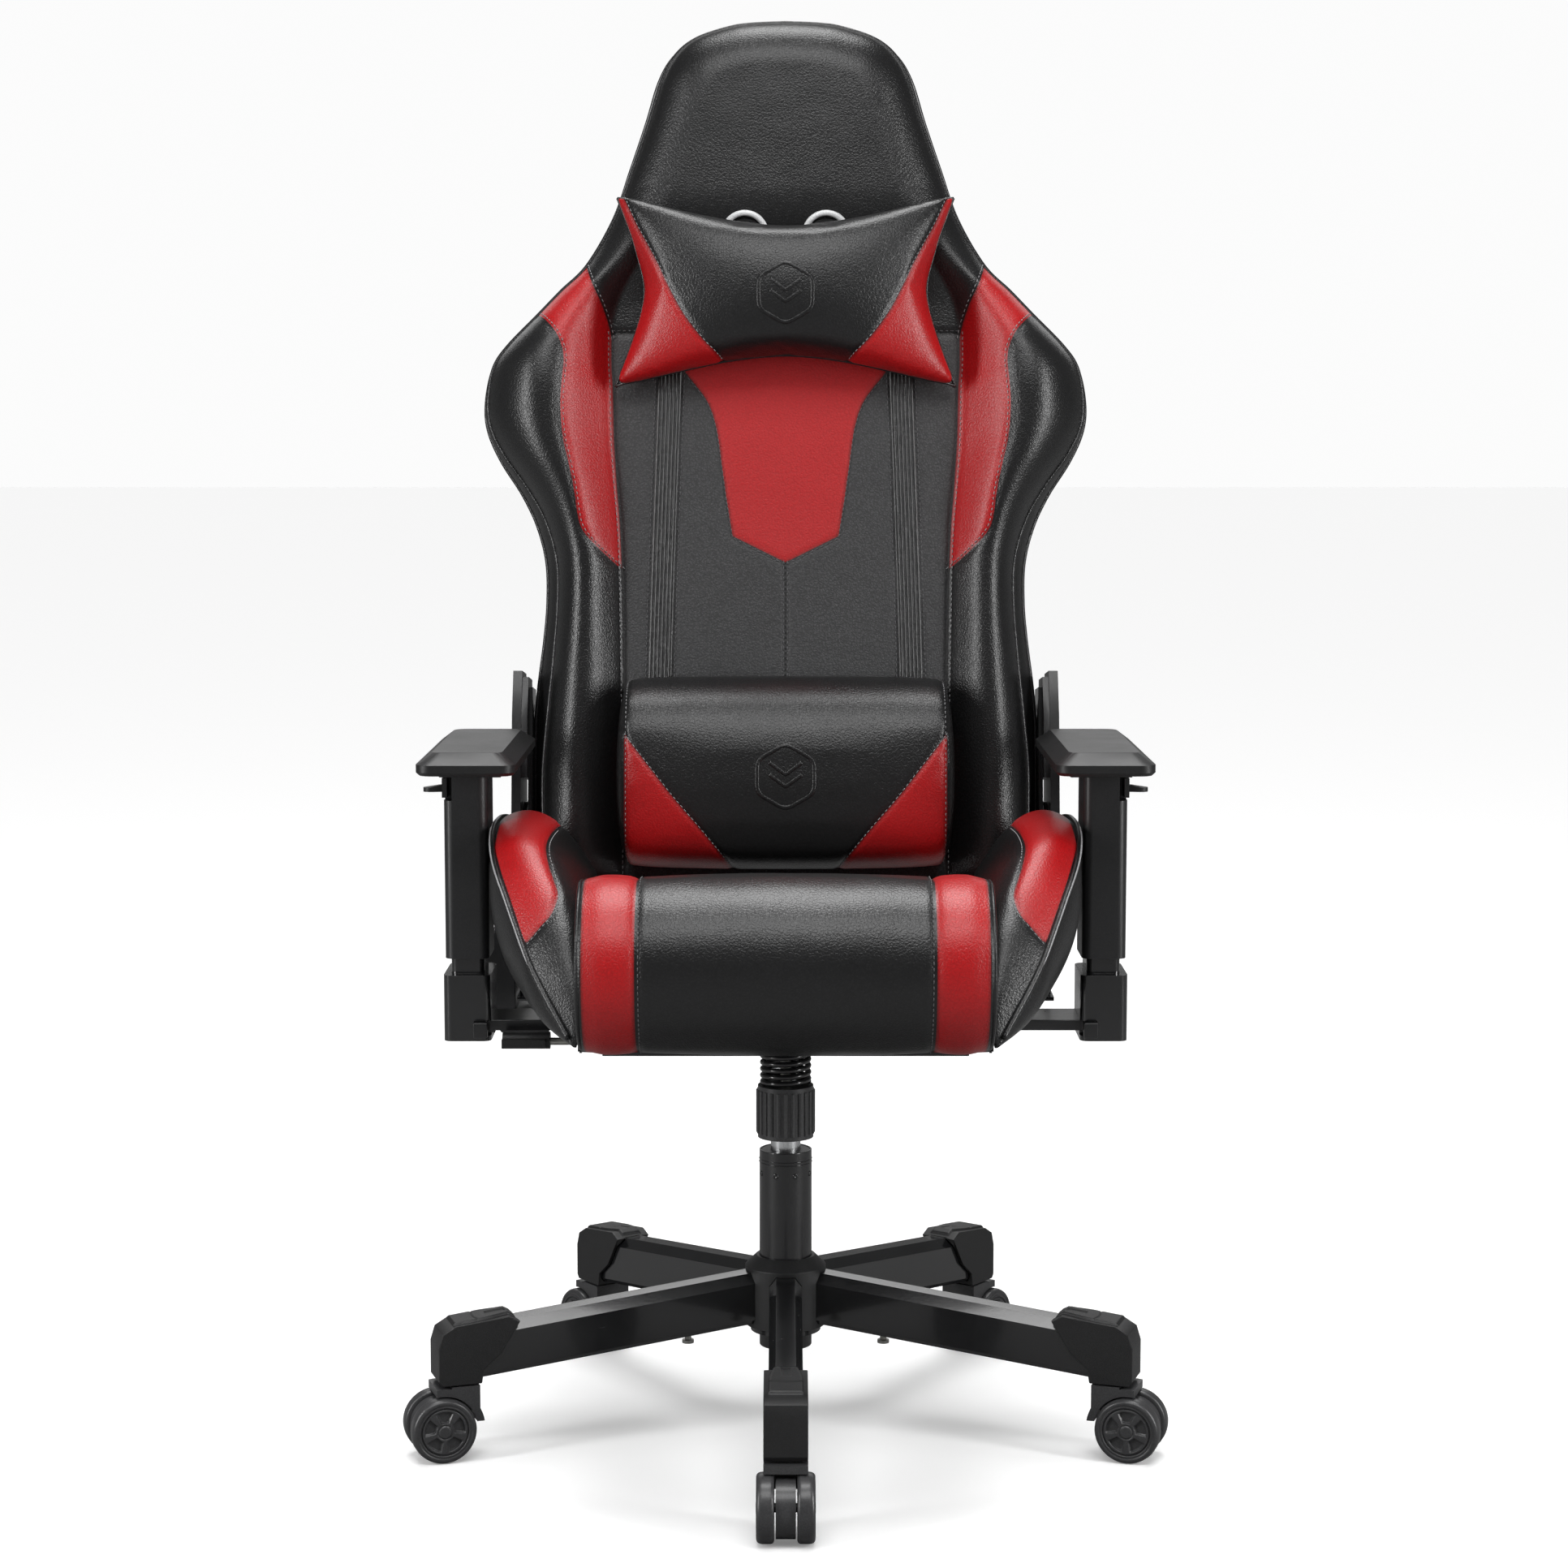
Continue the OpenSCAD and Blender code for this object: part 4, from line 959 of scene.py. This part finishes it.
def lumbar_pillow():
    """The long pillow at the small of the back."""
    n, end_round = 64, 8
    profile = lumbar_profile(n)
    end = LUMBAR_HALF + end_round * np.cos(np.linspace(0, math.pi / 2, 10))[:-1]
    xs = np.concatenate([-end, np.linspace(-LUMBAR_HALF, LUMBAR_HALF, 79), end[::-1]])
    rings = []
    for x in xs:
        beyond = (abs(x) - LUMBAR_HALF) / end_round
        if beyond > 0:
            size = 0.965 * max(math.sqrt(max(1 - beyond ** 2, 0.0)), 0.05)
        else:
            size = 1 - 0.035 * (abs(x) / LUMBAR_HALF) ** 10
        rings.append(back_point(x, LUMBAR_U + size * profile[:, 0], LUMBAR_D + size * profile[:, 1]))
    obj = add_object("lumbar_pillow_cover", np.concatenate(rings), capped_faces(len(xs), n))
    puffed(obj, 4.5 * MM, 3.5 * MM, pressure=2.0, frames=10, smooth=2)
    smoothed(obj, 12)
    x, u, d = local_back(point_values(obj.data))
    d = np.where(np.abs(x) < 172, np.minimum(d, front_depth(x, u) - 0.8), d)
    set_coords(obj, back_point(x, u, d))
    seam = spline([(158, 103), (130, 67), (109, 40), (80, 6), (50, -31), (40, -45)])
    pts = np.stack([np.abs(x), u], 1)
    poly = np.vstack([seam, [(220, -80), (220, 103)]])
    near = np.where(d < -60, line_distance(pts, seam), 99)
    at_end = np.abs(np.abs(x) - LUMBAR_SEAM)
    grooved(obj, (1.3 * dip(near, 2.4) + 1.5 * dip(at_end, 2.6)) * MM)
    set_panels(obj, np.minimum(signed_distance(pts, poly), LUMBAR_SEAM - np.abs(x)), np.minimum(near, at_end))
    finish_piece(obj, HIDE, "backrest", ("lumbar_pillow",))
    tree = surface_of(obj)
    depth = PILLOW_RAYS - 10
    rows = seam_stitches(tree, seam[1:-9], (-2.0, -1.4), depth)
    for place, side in ((1, 1), (3, -1)):
        x = side * (LUMBAR_SEAM - 2.6)
        starts = back_point(x, LUMBAR_U + 110 * np.sin(circle(n)), LUMBAR_D + 60 * np.cos(circle(n)))
        inwards = unit(back_point(x, LUMBAR_U, LUMBAR_D) - starts)
        rows.insert(place, stitch_row(*cast(tree, starts, inwards)))
    trim_piece("lumbar_pillow_stitches", rows, THREAD_GREY, "backrest")
    emblem("lumbar_pillow_emblem", tree, 58, depth, 1.05)


# ---------------------------------------------------------------- seat

SEAT_TOP, ROLL_R, ROLL_Y = 550.0, 77.0, -198.0
ROLL_Z = SEAT_TOP - ROLL_R
BAND_IN, BAND_OUT = 129.0, 174.5  # the red bands across the cushion, from x to x
SKIRT_Z = 406.0


def seat_profile():
    """Closed line (y, z) round the cushion, from under the roll, forwards and over to the rear."""
    a = np.radians(np.linspace(-95, -262, 48))
    roll = np.stack([ROLL_Y + ROLL_R * np.cos(a), ROLL_Z + ROLL_R * np.sin(a)], 1)
    top = spline([(-172, 546.5), (-140, 534), (-100, 517), (-50, 506.5), (20, 501), (80, 500), (112, 498.5),
                  (124, 491), (127.5, 478)], 6)
    low = spline([(127.5, 455), (127, 430), (124, 418), (60, 415.5), (-60, 415.5), (-160, 415.5),
                  (-206, 415.5), (-207.5, 405), (-207.5, 398.5)], 4)
    return resample(np.vstack([roll, top, low]), 4.2, closed=True)


def seat_cushion():
    """The seat cushion with its front roll and red bands, its stitches and the piping at its ends."""
    loop = seat_profile()
    n = len(loop)
    t = np.roll(loop, -1, 0) - np.roll(loop, 1, 0)
    out = unit(np.stack([t[:, 1], -t[:, 0]], 1))
    if ((loop - loop.mean(0)) * out).sum() < 0:
        out = -out
    soft = np.clip(smoothstep(414, 440, loop[:, 1]) + smoothstep(-206, -216, loop[:, 0]), 0, 1)
    arc = np.linspace(0, math.pi / 2, 9)
    flat = np.arange(0, BAND_OUT - 4, 4.0)
    half = np.concatenate([flat, BAND_OUT + 6.5 * np.sin(arc)])
    half_inset = np.concatenate([np.zeros(len(flat)), 14.0 * (1 - np.cos(arc))])
    xs = np.concatenate([-half[::-1], half[1:]])
    insets = np.concatenate([half_inset[::-1], half_inset[1:]])
    rings = []
    for x, inset in zip(xs, insets):
        ax = abs(x)
        on_band = min(max((ax - BAND_IN) / (BAND_OUT - BAND_IN), 0), 1)
        crown = 3.0 * (1 - min(ax / BAND_IN, 1) ** 2) + 2.0 * math.sin(math.pi * on_band)
        pull = 1.8 * smoothstep(BAND_OUT - 16, BAND_OUT, ax)
        ripple = np.array([noise(Vector((x * 0.02, p[0] * 0.025, p[1] * 0.025))) for p in loop])
        move = soft * (crown - 2.6 * dip(ax - BAND_IN, 2.6) - pull + 0.8 * ripple)
        p = loop + out * (move - inset * np.clip(soft + 0.25, 0, 1))[:, None]
        rings.append(np.stack([np.full(n, x), p[:, 0], p[:, 1]], 1) * MM)
    faces = grid_faces(len(xs), n, True)
    verts = np.concatenate(rings)
    for k, turn in ((0, -1), (len(xs) - 1, 1)):
        faces += [[k * n + i, k * n + (i + 1) % n, len(verts)][::turn] for i in range(n)]
        verts = np.vstack([verts, rings[k].mean(0) + [turn * MM, 0, 0]])
    obj = add_object("seat_cushion_cover", verts, faces)
    ax = np.abs(point_values(obj.data)[:, 0] / MM)
    set_panels(obj, np.minimum(ax - BAND_IN, BAND_OUT - ax),
               np.minimum(np.abs(ax - BAND_IN), np.abs(ax - BAND_OUT)))
    finish_piece(obj, HIDE, "seat", ("seat_cushion",))

    upper = np.flatnonzero(soft > 0.9)
    ups = np.stack([np.zeros(len(upper)), out[upper, 0], out[upper, 1]], 1)

    def ring_at(x):
        """The upper part of the cushion's ring that is nearest to x."""
        return rings[int(np.argmin(np.abs(xs - x)))][upper]

    for name, at, material in (("seat_band_stitches", BAND_IN - 3.2, THREAD_DARK),
                               ("seat_edge_stitches", BAND_OUT - 3.0, THREAD_RED)):
        rows = []
        for side in (1, -1):
            ring = ring_at(side * at)
            rows.append(stitch_row(ring + [side * at * MM - ring[0][0], 0, 0], ups, lift=0.15 * MM))
        trim_piece(name, rows, material, "seat")
    welts = [tube(ring_at(side * (BAND_OUT + 3.2)) + ups * 0.3 * MM, 1.9 * MM, 8) for side in (1, -1)]
    trim_piece("seat_end_piping", welts, PIPING, "seat")


def seat_skirt():
    """The thin cover wall that hides the seat frame's rails at the sides and the rear."""
    section = np.array([(-1.2, -10.5), (1.2, -10.5), (1.2, 12), (-1.2, 12)]) * MM
    runs = [[(side * 179.0, -204, SKIRT_Z), (side * 179.0, 126.5, SKIRT_Z)] for side in (1, -1)]
    runs.append([(-178.0, 126.0, SKIRT_Z), (178.0, 126.0, SKIRT_Z)])
    walls = [sweep(resample(np.array(run) * MM, 10 * MM), section, (0, 0, 1.0)) for run in runs]
    trim_piece("seat_skirt", walls, PLAIN_HIDE, "seat", smooth=False)


# Seat bolster along y: piping's x and z, height where it meets the cushion, crest over the chord
BOLSTER = np.array([
    (-207, 186, 403, 405, 0.5), (-203, 191, 411, 418, 3), (-194, 201, 427, 438, 6), (-182, 213, 446, 458, 9),
    (-165, 226.5, 469, 478, 12), (-145, 237, 491, 494, 14), (-120, 249, 517, 508, 17),
    (-90, 261, 541, 516, 19), (-60, 267, 558, 520, 19), (0, 270.5, 567, 520, 19), (60, 269, 569, 516, 18),
    (95, 266, 566, 512, 18), (118, 261, 560, 508, 17), (127, 255, 552, 500, 15)])
# The bolster's red panel as seen from in front and above by VIEW_DROP: x and height
BOLSTER_RED = np.vstack([[(265, 660), (265, 549), (254.5, 522), (241, 490), (230.3, 464)], spline(
    [(230.3, 464), (217.5, 479), (208.8, 489), (203.8, 501), (203.4, 510), (209.8, 525), (215.6, 540),
     (217.7, 553), (215, 568)]), [(214, 600), (214, 660)]])
VIEW_DROP = math.radians(6.4)
BOLSTER_X, BOLSTER_Z = 182.0, 400.0  # inner face and underside
INNER_N, OVER_N = 10, 26  # points up the inner face, and from there over to the piping


def bolster_section(px, pz, join, crest):
    """Closed line (x, z) round a bolster: up its inner face, over to the piping, and down outside."""
    s, w = (pz - BOLSTER_Z) / 168, px - BOLSTER_X
    foot = (BOLSTER_X + 0.2 * w, BOLSTER_Z + 0.5)
    heights = np.linspace(BOLSTER_Z + 1, join, INNER_N, endpoint=False)
    inner = np.stack([np.full(INNER_N, BOLSTER_X), heights], 1)
    t = np.linspace(0, 1, OVER_N, endpoint=False)
    over = bezier([(BOLSTER_X, join), (BOLSTER_X + 0.16 * w, join + crest * 1.3),
                   (px - 0.45 * w, pz + crest * 1.5), (px, pz)], t)
    down = bezier([(px, pz), (px + 13 * s, pz - 66 * s), (px - 12 * s, BOLSTER_Z + 20 * s), foot], t)
    under = np.linspace(foot, (BOLSTER_X, BOLSTER_Z + 1), 5, endpoint=False)
    return np.concatenate([inner, over, down, under])


def bolsters():
    """The two seat bolsters with their red panels, piping, silver cord and stitches."""
    ys = np.concatenate([np.arange(-207, -150, 2.5), np.arange(-150, 112, 4.0), np.linspace(113, 127.4, 7)])
    table = spline(BOLSTER, 6)
    piping_at = INNER_N + OVER_N
    rings = []
    for y in ys:
        ring = bolster_section(*(np.interp(y, table[:, 0], table[:, k]) for k in (1, 2, 3, 4)))
        middle = ring.mean(0)
        ring = middle + (ring - middle) * (0.93 + 0.07 * smoothstep(127.4, 112, y))
        rings.append(np.stack([ring[:, 0], np.full(len(ring), y), ring[:, 1]], 1))
    n = len(rings[0])
    base = np.concatenate(rings)
    place = np.tile(np.arange(n), len(ys))
    on_top = (place >= INNER_N - 1) & (place <= piping_at)
    seen = np.stack([base[:, 0], base[:, 2] * math.cos(VIEW_DROP) + base[:, 1] * math.sin(VIEW_DROP)], 1)
    red = np.where(on_top, signed_distance(seen, BOLSTER_RED), -9)
    edge = np.where(on_top, line_distance(seen, BOLSTER_RED[4:-1]), 99)
    welt = np.array([ring[piping_at] for ring in rings])[ys > -205]
    for name, side in (("left", 1), ("right", -1)):
        mirror = np.array([side, 1, 1])
        obj = add_object("seat_bolster_cover_" + name, base * mirror * MM, capped_faces(len(ys), n, side))
        ripple = np.array([noise(Vector((p[0] * 0.02 + side, p[1] * 0.016, p[2] * 0.02))) for p in base])
        sink = 1.5 * dip(edge, 2.6) - 1.1 * ripple
        grooved(obj, np.where(base[:, 0] < BOLSTER_X + 0.5, np.maximum(sink, 0), sink) * MM)
        set_panels(obj, red, np.minimum(edge, np.where(place == piping_at, 0.0, 9)))
        finish_piece(obj, HIDE, "seat", ("seat_bolster_" + name,))
        line = resample(welt, 3.0) * mirror * MM
        out = unit(np.array([[side * 0.75, -0.15, 0.62]]))
        trim_piece("bolster_piping_" + name, [tube(line + out * 0.6 * MM, 2.9 * MM)], PIPING, "seat")
        trim_piece("bolster_cord_" + name, [tube(line + out * 2.9 * MM, 1.15 * MM, 8)], SILVER_PIPING, "seat")
        curve = resample(BOLSTER_RED[5:-3], 2.0)
        far = 400.0
        heights = (curve[:, 1] + far * math.sin(VIEW_DROP)) / math.cos(VIEW_DROP)
        starts = np.stack([side * (curve[:, 0] - 2.2), np.full(len(curve), -far), heights], 1) * MM
        hits = cast(surface_of(obj), starts, (0, math.cos(VIEW_DROP), -math.sin(VIEW_DROP)))
        trim_piece("bolster_stitches_" + name, [stitch_row(*hits)], THREAD_GREY, "seat")


# ---------------------------------------------------------------- straps

BAND_THICK = 1.5
HEAD_BAND_U, LUMBAR_BAND_U = 587.0, 70.0
WEB_ROWS, WEB_Z = (-151, -111, -36, 4, 44), 414.0


def strap(name, line, across, width, body, replaces=()):
    """A flat woven band along a 3D line in metres; across is the direction of its width."""
    ups = np.cross(np.gradient(line, axis=0), np.asarray(across, float))
    w, h = width / 2, BAND_THICK / 2
    top = [(x * w, h + 0.25 * abs(x) ** 12) for x in np.linspace(-1, 1, 17)]
    section = np.array(top + [(x, -y) for x, y in reversed(top)])
    obj = add_object(name, *sweep(line, section * MM, ups))
    finish_piece(obj, TAPE, body, replaces)


def straps():
    """The bands that hold the two pillows, and the elastic webbing under the seat cushion."""
    up_back = back_point(0.0, 1.0, 0.0) - back_point(0.0, 0.0, 0.0)
    half = spline([(40, -66), (40, -40), (40, 0), (40, 22), (39.2, 29), (35.5, 32.6), (29, 33.6), (0, 34)])
    loop = resample(np.vstack([half, (half * [-1, 1])[::-1][1:]]), 3.0)
    strap("head_pillow_band", back_point(loop[:, 0], HEAD_BAND_U, loop[:, 1]), up_back, 20.0, "backrest",
          ("pillow_straps",))
    x = np.linspace(-226, 226, 120)
    d = 28.6 + 26.0 * (edge_round(248 - np.abs(x), 24) - 1) + 1.5 * (1 - (np.abs(x) / 250) ** 2)
    strap("lumbar_pillow_band", back_point(x, LUMBAR_BAND_U, d), up_back, 28.0, "backrest")
    x = np.linspace(-159, 159, 90)
    z = WEB_Z - 2.5 * smoothstep(140, 0, np.abs(x))
    for i, y in enumerate(WEB_ROWS):
        line = np.stack([x, np.full(len(x), float(y)), z], 1) * MM
        strap(f"seat_web_{i + 1}", line, (0, 1, 0), 28.0, "seat",
              ("seat_webbing",) if i == 0 else ())


# ---------------------------------------------------------------- hard parts

BOTH_SIDES = ("left", "right")
STEEL_FRAME = ("mechanism_base", "mechanism_plate", "seat_frame", "back_frame")
PLATED = ("leg_screws", "caster_stems", "thrust_bearing", "piston_rod", "valve_pin", "tension_bolt",
          "frame_bolts", "tilt_pivot_pin", "lift_lever")
# Material, width of the rounded edges, single nodes, and nodes that come as left and right
HARD_PARTS = [
    (GLOSS, 1.2, ("base_star",), ()),
    (GLOSS, 0.6, (), ("recliner_lower", "recliner_upper")),
    (GLOSS, 0.9, (), ("arm_post",)),
    (SATIN, 0.8, ("column_tube",) + STEEL_FRAME, ("arm_bracket",)),
    (ZINC, 0.4, PLATED, ()),
    (CHROME, 0.5, ("pressure_cylinder",), ()),
    (CAP, 1.0, ("hub_cover", "leg_caps"), ()),
    (CAP, 0.6, ("guide_bush", "lift_lever_grip"), ("arm_trigger",)),
    (KNOB, 0.6, ("tension_knob",), ()),
    (NYLON, 0.9, tuple(f"caster_hood_{i}" for i in range(1, 6)), ()),
    (HINGE_COVER, 1.4, ("recliner_housing", "recline_handle"), ("recliner_cover",)),
    (HINGE_COVER, 1.0, (), ("arm_sleeve",)),
    (PAD, 2.0, (), ("arm_pad",)),
    (EYELET, 0.6, ("eyelet_rings",), ()),
]


def dressed(obj, material, bevel):
    """A carried-over CAD node: welded, with small rounded edges and its material."""
    obj.data.materials.clear()
    obj.data.materials.append(material)
    for attribute in ("custom_normal", "sharp_face", "sharp_edge"):
        if attribute in obj.data.attributes:
            obj.data.attributes.remove(obj.data.attributes[attribute])
    obj.data.shade_smooth()
    obj.modifiers.new("weld", "WELD").merge_threshold = 1e-5
    m = obj.modifiers.new("bevel", "BEVEL")
    m.width, m.segments, m.limit_method = bevel * MM, 2, "ANGLE"
    m.angle_limit = math.radians(35)
    m.use_clamp_overlap = True
    m.harden_normals = False
    obj.modifiers.new("normals", "WEIGHTED_NORMAL").keep_sharp = False


def hard_parts():
    for material, bevel, singles, pairs in HARD_PARTS:
        for name in singles + tuple(f"{pair}_{side}" for pair in pairs for side in BOTH_SIDES):
            dressed(NODES[name], material, bevel)


def spring():
    """The tilt spring: a wound wire at one fixed length."""
    low, high, y = 341.6, 379.4, -74.0
    turns, wire, radius = 6.5, 2.5, 21.0
    t = np.linspace(0, 1, 420)
    z = low + wire + (high - low - 2 * wire) * np.clip((t - 0.08) / 0.84, 0, 1)
    a = t * turns * 2 * math.pi
    line = np.stack([radius * np.cos(a), y + radius * np.sin(a), z], 1) * MM
    obj = merged("tension_spring_wire", [tube(line, wire * MM, 12)])
    finish_piece(obj, SPRING, "lift", ("tension_spring",))
    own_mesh(obj)


WHEEL_R, WHEEL_GAP, STEM_R, TRAIL = 30.0, 19.5, 313.0, 20.0
HUB_R, WINDOWS = 20.0, 5
# A wheel's tread, rim and hub edge: radius, and distance from its inner face
WHEEL_RINGS = [(4.4, 0.0), (27.0, 0.0), (28.6, 0.5), (29.6, 1.6), (30.0, 3.2), (30.0, 6.0), (30.0, 10.0),
               (29.7, 12.2), (28.9, 13.9), (27.6, 15.0), (26.2, 15.4), (25.2, 15.2), (24.6, 14.6),
               (24.0, 14.6), (23.4, 15.0), (22.6, 15.0), (22.2, 14.4), (21.9, 13.2), (21.3, 13.2),
               (21.0, 14.2), (20.5, 14.7)]


def leg_angle(i):
    """Direction of leg i, from 0 at the front."""
    return math.radians(270 + 72 * i)


def wheel_side():
    """A wheel as a fine grid of rings, with the hub cap's windows sunk in."""
    turns = 120
    a = circle(turns)
    sector = (a + math.pi / WINDOWS / 2) % (2 * math.pi / WINDOWS) - math.pi / WINDOWS
    levels = [(r, np.full(turns, w)) for r, w in WHEEL_RINGS]
    for r in np.linspace(HUB_R, 0.3, 46):
        window = np.minimum(np.minimum(r * np.cos(sector) - 8.6, 18.6 - r),
                            7.4 - np.abs(np.sin(sector) * r) - 0.42 * (18.6 - r))
        height = 14.7 + 0.55 * (1 - (r / 19.5) ** 2) - 3.0 * smoothstep(-0.45, 0.55, window)
        levels.append((r, height - 0.7 * dip(r - 6.3, 0.5) + 0.5 * smoothstep(6.0, 4.6, r)))
    verts = [np.stack([r * np.cos(a), r * np.sin(a), height], 1) for r, height in levels]
    faces = grid_faces(len(verts), turns, True)
    faces.append(list(range((len(verts) - 1) * turns, len(verts) * turns)))
    return np.concatenate(verts), faces


def wheels():
    """Five pairs of caster wheels that share one mesh."""
    v, faces = wheel_side()
    halves = []
    for side in (1, -1):
        p = np.stack([v[:, 0], side * (WHEEL_GAP / 2 + v[:, 2]), v[:, 1]], 1)
        halves.append((p * MM, [f[::side] for f in faces]))
    first = merged("wheel_pair_1", halves)
    first.data.materials.append(NYLON)
    for i in range(5):
        obj = first
        if i:
            obj = bpy.data.objects.new(f"wheel_pair_{i + 1}", first.data)
            bpy.context.scene.collection.objects.link(obj)
        reach, turn = (STEM_R + TRAIL) * MM, leg_angle(i)
        obj.rotation_euler = (0, 0, turn)
        obj.location = (reach * math.cos(turn), reach * math.sin(turn), WHEEL_R * MM)
        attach(obj, f"wheels_{i + 1}")
        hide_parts(f"caster_wheels_{i + 1}")


CAP_FROM, CAP_TO, CAP_HALF = 263.5, 323.0, 15.5


def cap_panels():
    """The raised panel with a slot on top of each leg cap."""
    n, m = 80, 45
    r = np.linspace(CAP_FROM, CAP_TO, n)
    top = np.interp(r, [261, 271, 321, 333], [126, 131.5, 126, 119])[:, None]
    half = CAP_HALF - 4.0 * smoothstep(296, 268, r)
    reach, t = np.meshgrid(r, np.linspace(-1, 1, m), indexing="ij")
    across = t * half[:, None]
    edge = np.minimum(np.minimum(reach - CAP_FROM, CAP_TO - reach), half[:, None] - np.abs(across))
    slot = np.minimum(4.0 - np.abs(across), 9 - np.abs(reach - 281))
    height = -1.2 + 3.6 * edge_round(edge, 2.6) - 1.1 * smoothstep(-0.6, 0.6, slot)
    crease = dip(reach - 300 - 3 * np.cos(across / CAP_HALF * math.pi / 2), 0.9)
    z = top + height - 0.9 * crease * smoothstep(0.5, 2, edge)
    layers = [np.stack([reach, across, level], -1).reshape(-1, 3) for level in (z, np.minimum(z, top - 1.3))]
    shape = np.concatenate(layers)
    parts = []
    for i in range(5):
        c, s = math.cos(leg_angle(i)), math.sin(leg_angle(i))
        parts.append((shape @ np.array([[c, s, 0], [-s, c, 0], [0, 0, 1]]) * MM, slab_faces(n, m)))
    trim_piece("leg_cap_panels", parts, CAP, "root")


TUBE_R, TUBE_TOP = 24.5, 265.0
# A pressed dimple's rings: radius, and how far it stands off the tube
DIMPLE = [(3.0, -0.6), (2.6, 0.35), (1.9, 0.8), (1.0, 0.35), (0.05, 0.15)]


def column_trim():
    """Two fine lines and a ring of pressed dimples round the top of the column."""
    n, dimples, m = 96, 8, 16
    parts = []
    for z in (TUBE_TOP - 9.0, TUBE_TOP - 12.0):
        ring = np.hstack([circle_section(TUBE_R, n), np.full((n, 1), z)]) * MM
        parts.append(tube(ring, 0.45 * MM, 8, closed=True, ups=(0, 0, 1)))
    for b in (np.arange(dimples) + 0.5) * 2 * math.pi / dimples:
        verts = []
        for radius, out in DIMPLE:
            side, up, reach = radius * np.cos(circle(m)), radius * np.sin(circle(m)), TUBE_R + out
            verts.append(np.stack([reach * math.cos(b) - side * math.sin(b),
                                   reach * math.sin(b) + side * math.cos(b), TUBE_TOP - 22 + up], 1))
        parts.append((np.concatenate(verts) * MM, capped_faces(len(DIMPLE), m)))
    trim_piece("column_trim", parts, SATIN, "root")


# ---------------------------------------------------------------- stage

def placed(name, data, where):
    obj = bpy.data.objects.new(name, data)
    obj.location = where
    bpy.context.scene.collection.objects.link(obj)
    return obj


def area_light(name, where, aim, size, power):
    light = bpy.data.lights.new(name, "AREA")
    light.shape, light.size, light.size_y = "RECTANGLE", size[0], size[1]
    light.energy = power
    obj = placed(name, light, where)
    obj.rotation_mode = "QUATERNION"
    obj.rotation_quaternion = (Vector(aim) - Vector(where)).to_track_quat("-Z", "Y")


def pale_floor():
    """A floor that looks nearly white but throws little light back up at the chair."""
    reach = 40
    corners = [(-reach, -reach, 0), (reach, -reach, 0), (reach, reach, 0), (-reach, reach, 0)]
    floor = add_object("floor", corners, [[0, 1, 2, 3]], False)
    s = Shade("pale_floor", 0.7, specular=0.1)
    seen = s.node("ShaderNodeLightPath").outputs["Is Camera Ray"]
    s.colour(s.mix(seen, (0.20, 0.20, 0.20), (0.96, 0.96, 0.96)))
    s.bsdf.inputs["Emission Color"].default_value = (1, 1, 1, 1)
    s.put(s.times(seen, 0.18), s.bsdf.inputs["Emission Strength"])
    floor.data.materials.append(s.mat)


def studio_world():
    """A nearly white backdrop for the camera and a dim white light from all round."""
    world = bpy.data.worlds.new("studio")
    bpy.context.scene.world = world
    world.use_nodes = True
    tree = world.node_tree
    both = tree.nodes.new("ShaderNodeMixShader")
    path = tree.nodes.new("ShaderNodeLightPath")
    tree.links.new(path.outputs["Is Camera Ray"], both.inputs[0])
    for light, strength, socket in ((tree.nodes["Background"], 0.10, both.inputs[1]),
                                    (tree.nodes.new("ShaderNodeBackground"), 0.97, both.inputs[2])):
        light.inputs[0].default_value = (1, 1, 1, 1)
        light.inputs[1].default_value = strength
        tree.links.new(light.outputs[0], socket)
    tree.links.new(both.outputs[0], tree.nodes["World Output"].inputs[0])


def stage():
    """Floor, backdrop, lights and camera, in metres."""
    scene = bpy.context.scene
    pale_floor()
    studio_world()
    scene.view_settings.view_transform = "Standard"
    sun = bpy.data.lights.new("overhead_sky", "SUN")
    sun.energy, sun.angle = 2.3, math.radians(36)
    placed("overhead_sky", sun, (0, 0, 0)).rotation_euler = (math.radians(-12), 0, 0)
    for name, x in (("strip_left", -2.4), ("strip_right", 2.4)):
        area_light(name, (x, -1.3, 1.25), (0, 0.1, 0.75), (0.40, 2.0), 46)
    area_light("front_softbox", (0, -2.1, 3.4), (0, 0, 0.8), (2.8, 1.4), 62)
    area_light("rear_fill", (0, 3.2, 1.9), (0, 0.3, 0.6), (3.4, 1.4), 17)
    camera = bpy.data.cameras.new("camera")
    camera.sensor_width, camera.lens = 36, 75.66
    camera.clip_start, camera.clip_end = 0.05, 200
    scene.camera = placed("camera", camera, (-0.0015, -3.036, 0.950))
    scene.camera.rotation_euler = (math.radians(83.59), 0, 0)


stage()
hard_parts()
spring()
wheels()
cap_panels()
column_trim()
backrest()
strap_holes()
back_piping()
back_stitches()
ribbed_tapes()
head_pillow()
lumbar_pillow()
seat_cushion()
seat_skirt()
bolsters()
straps()
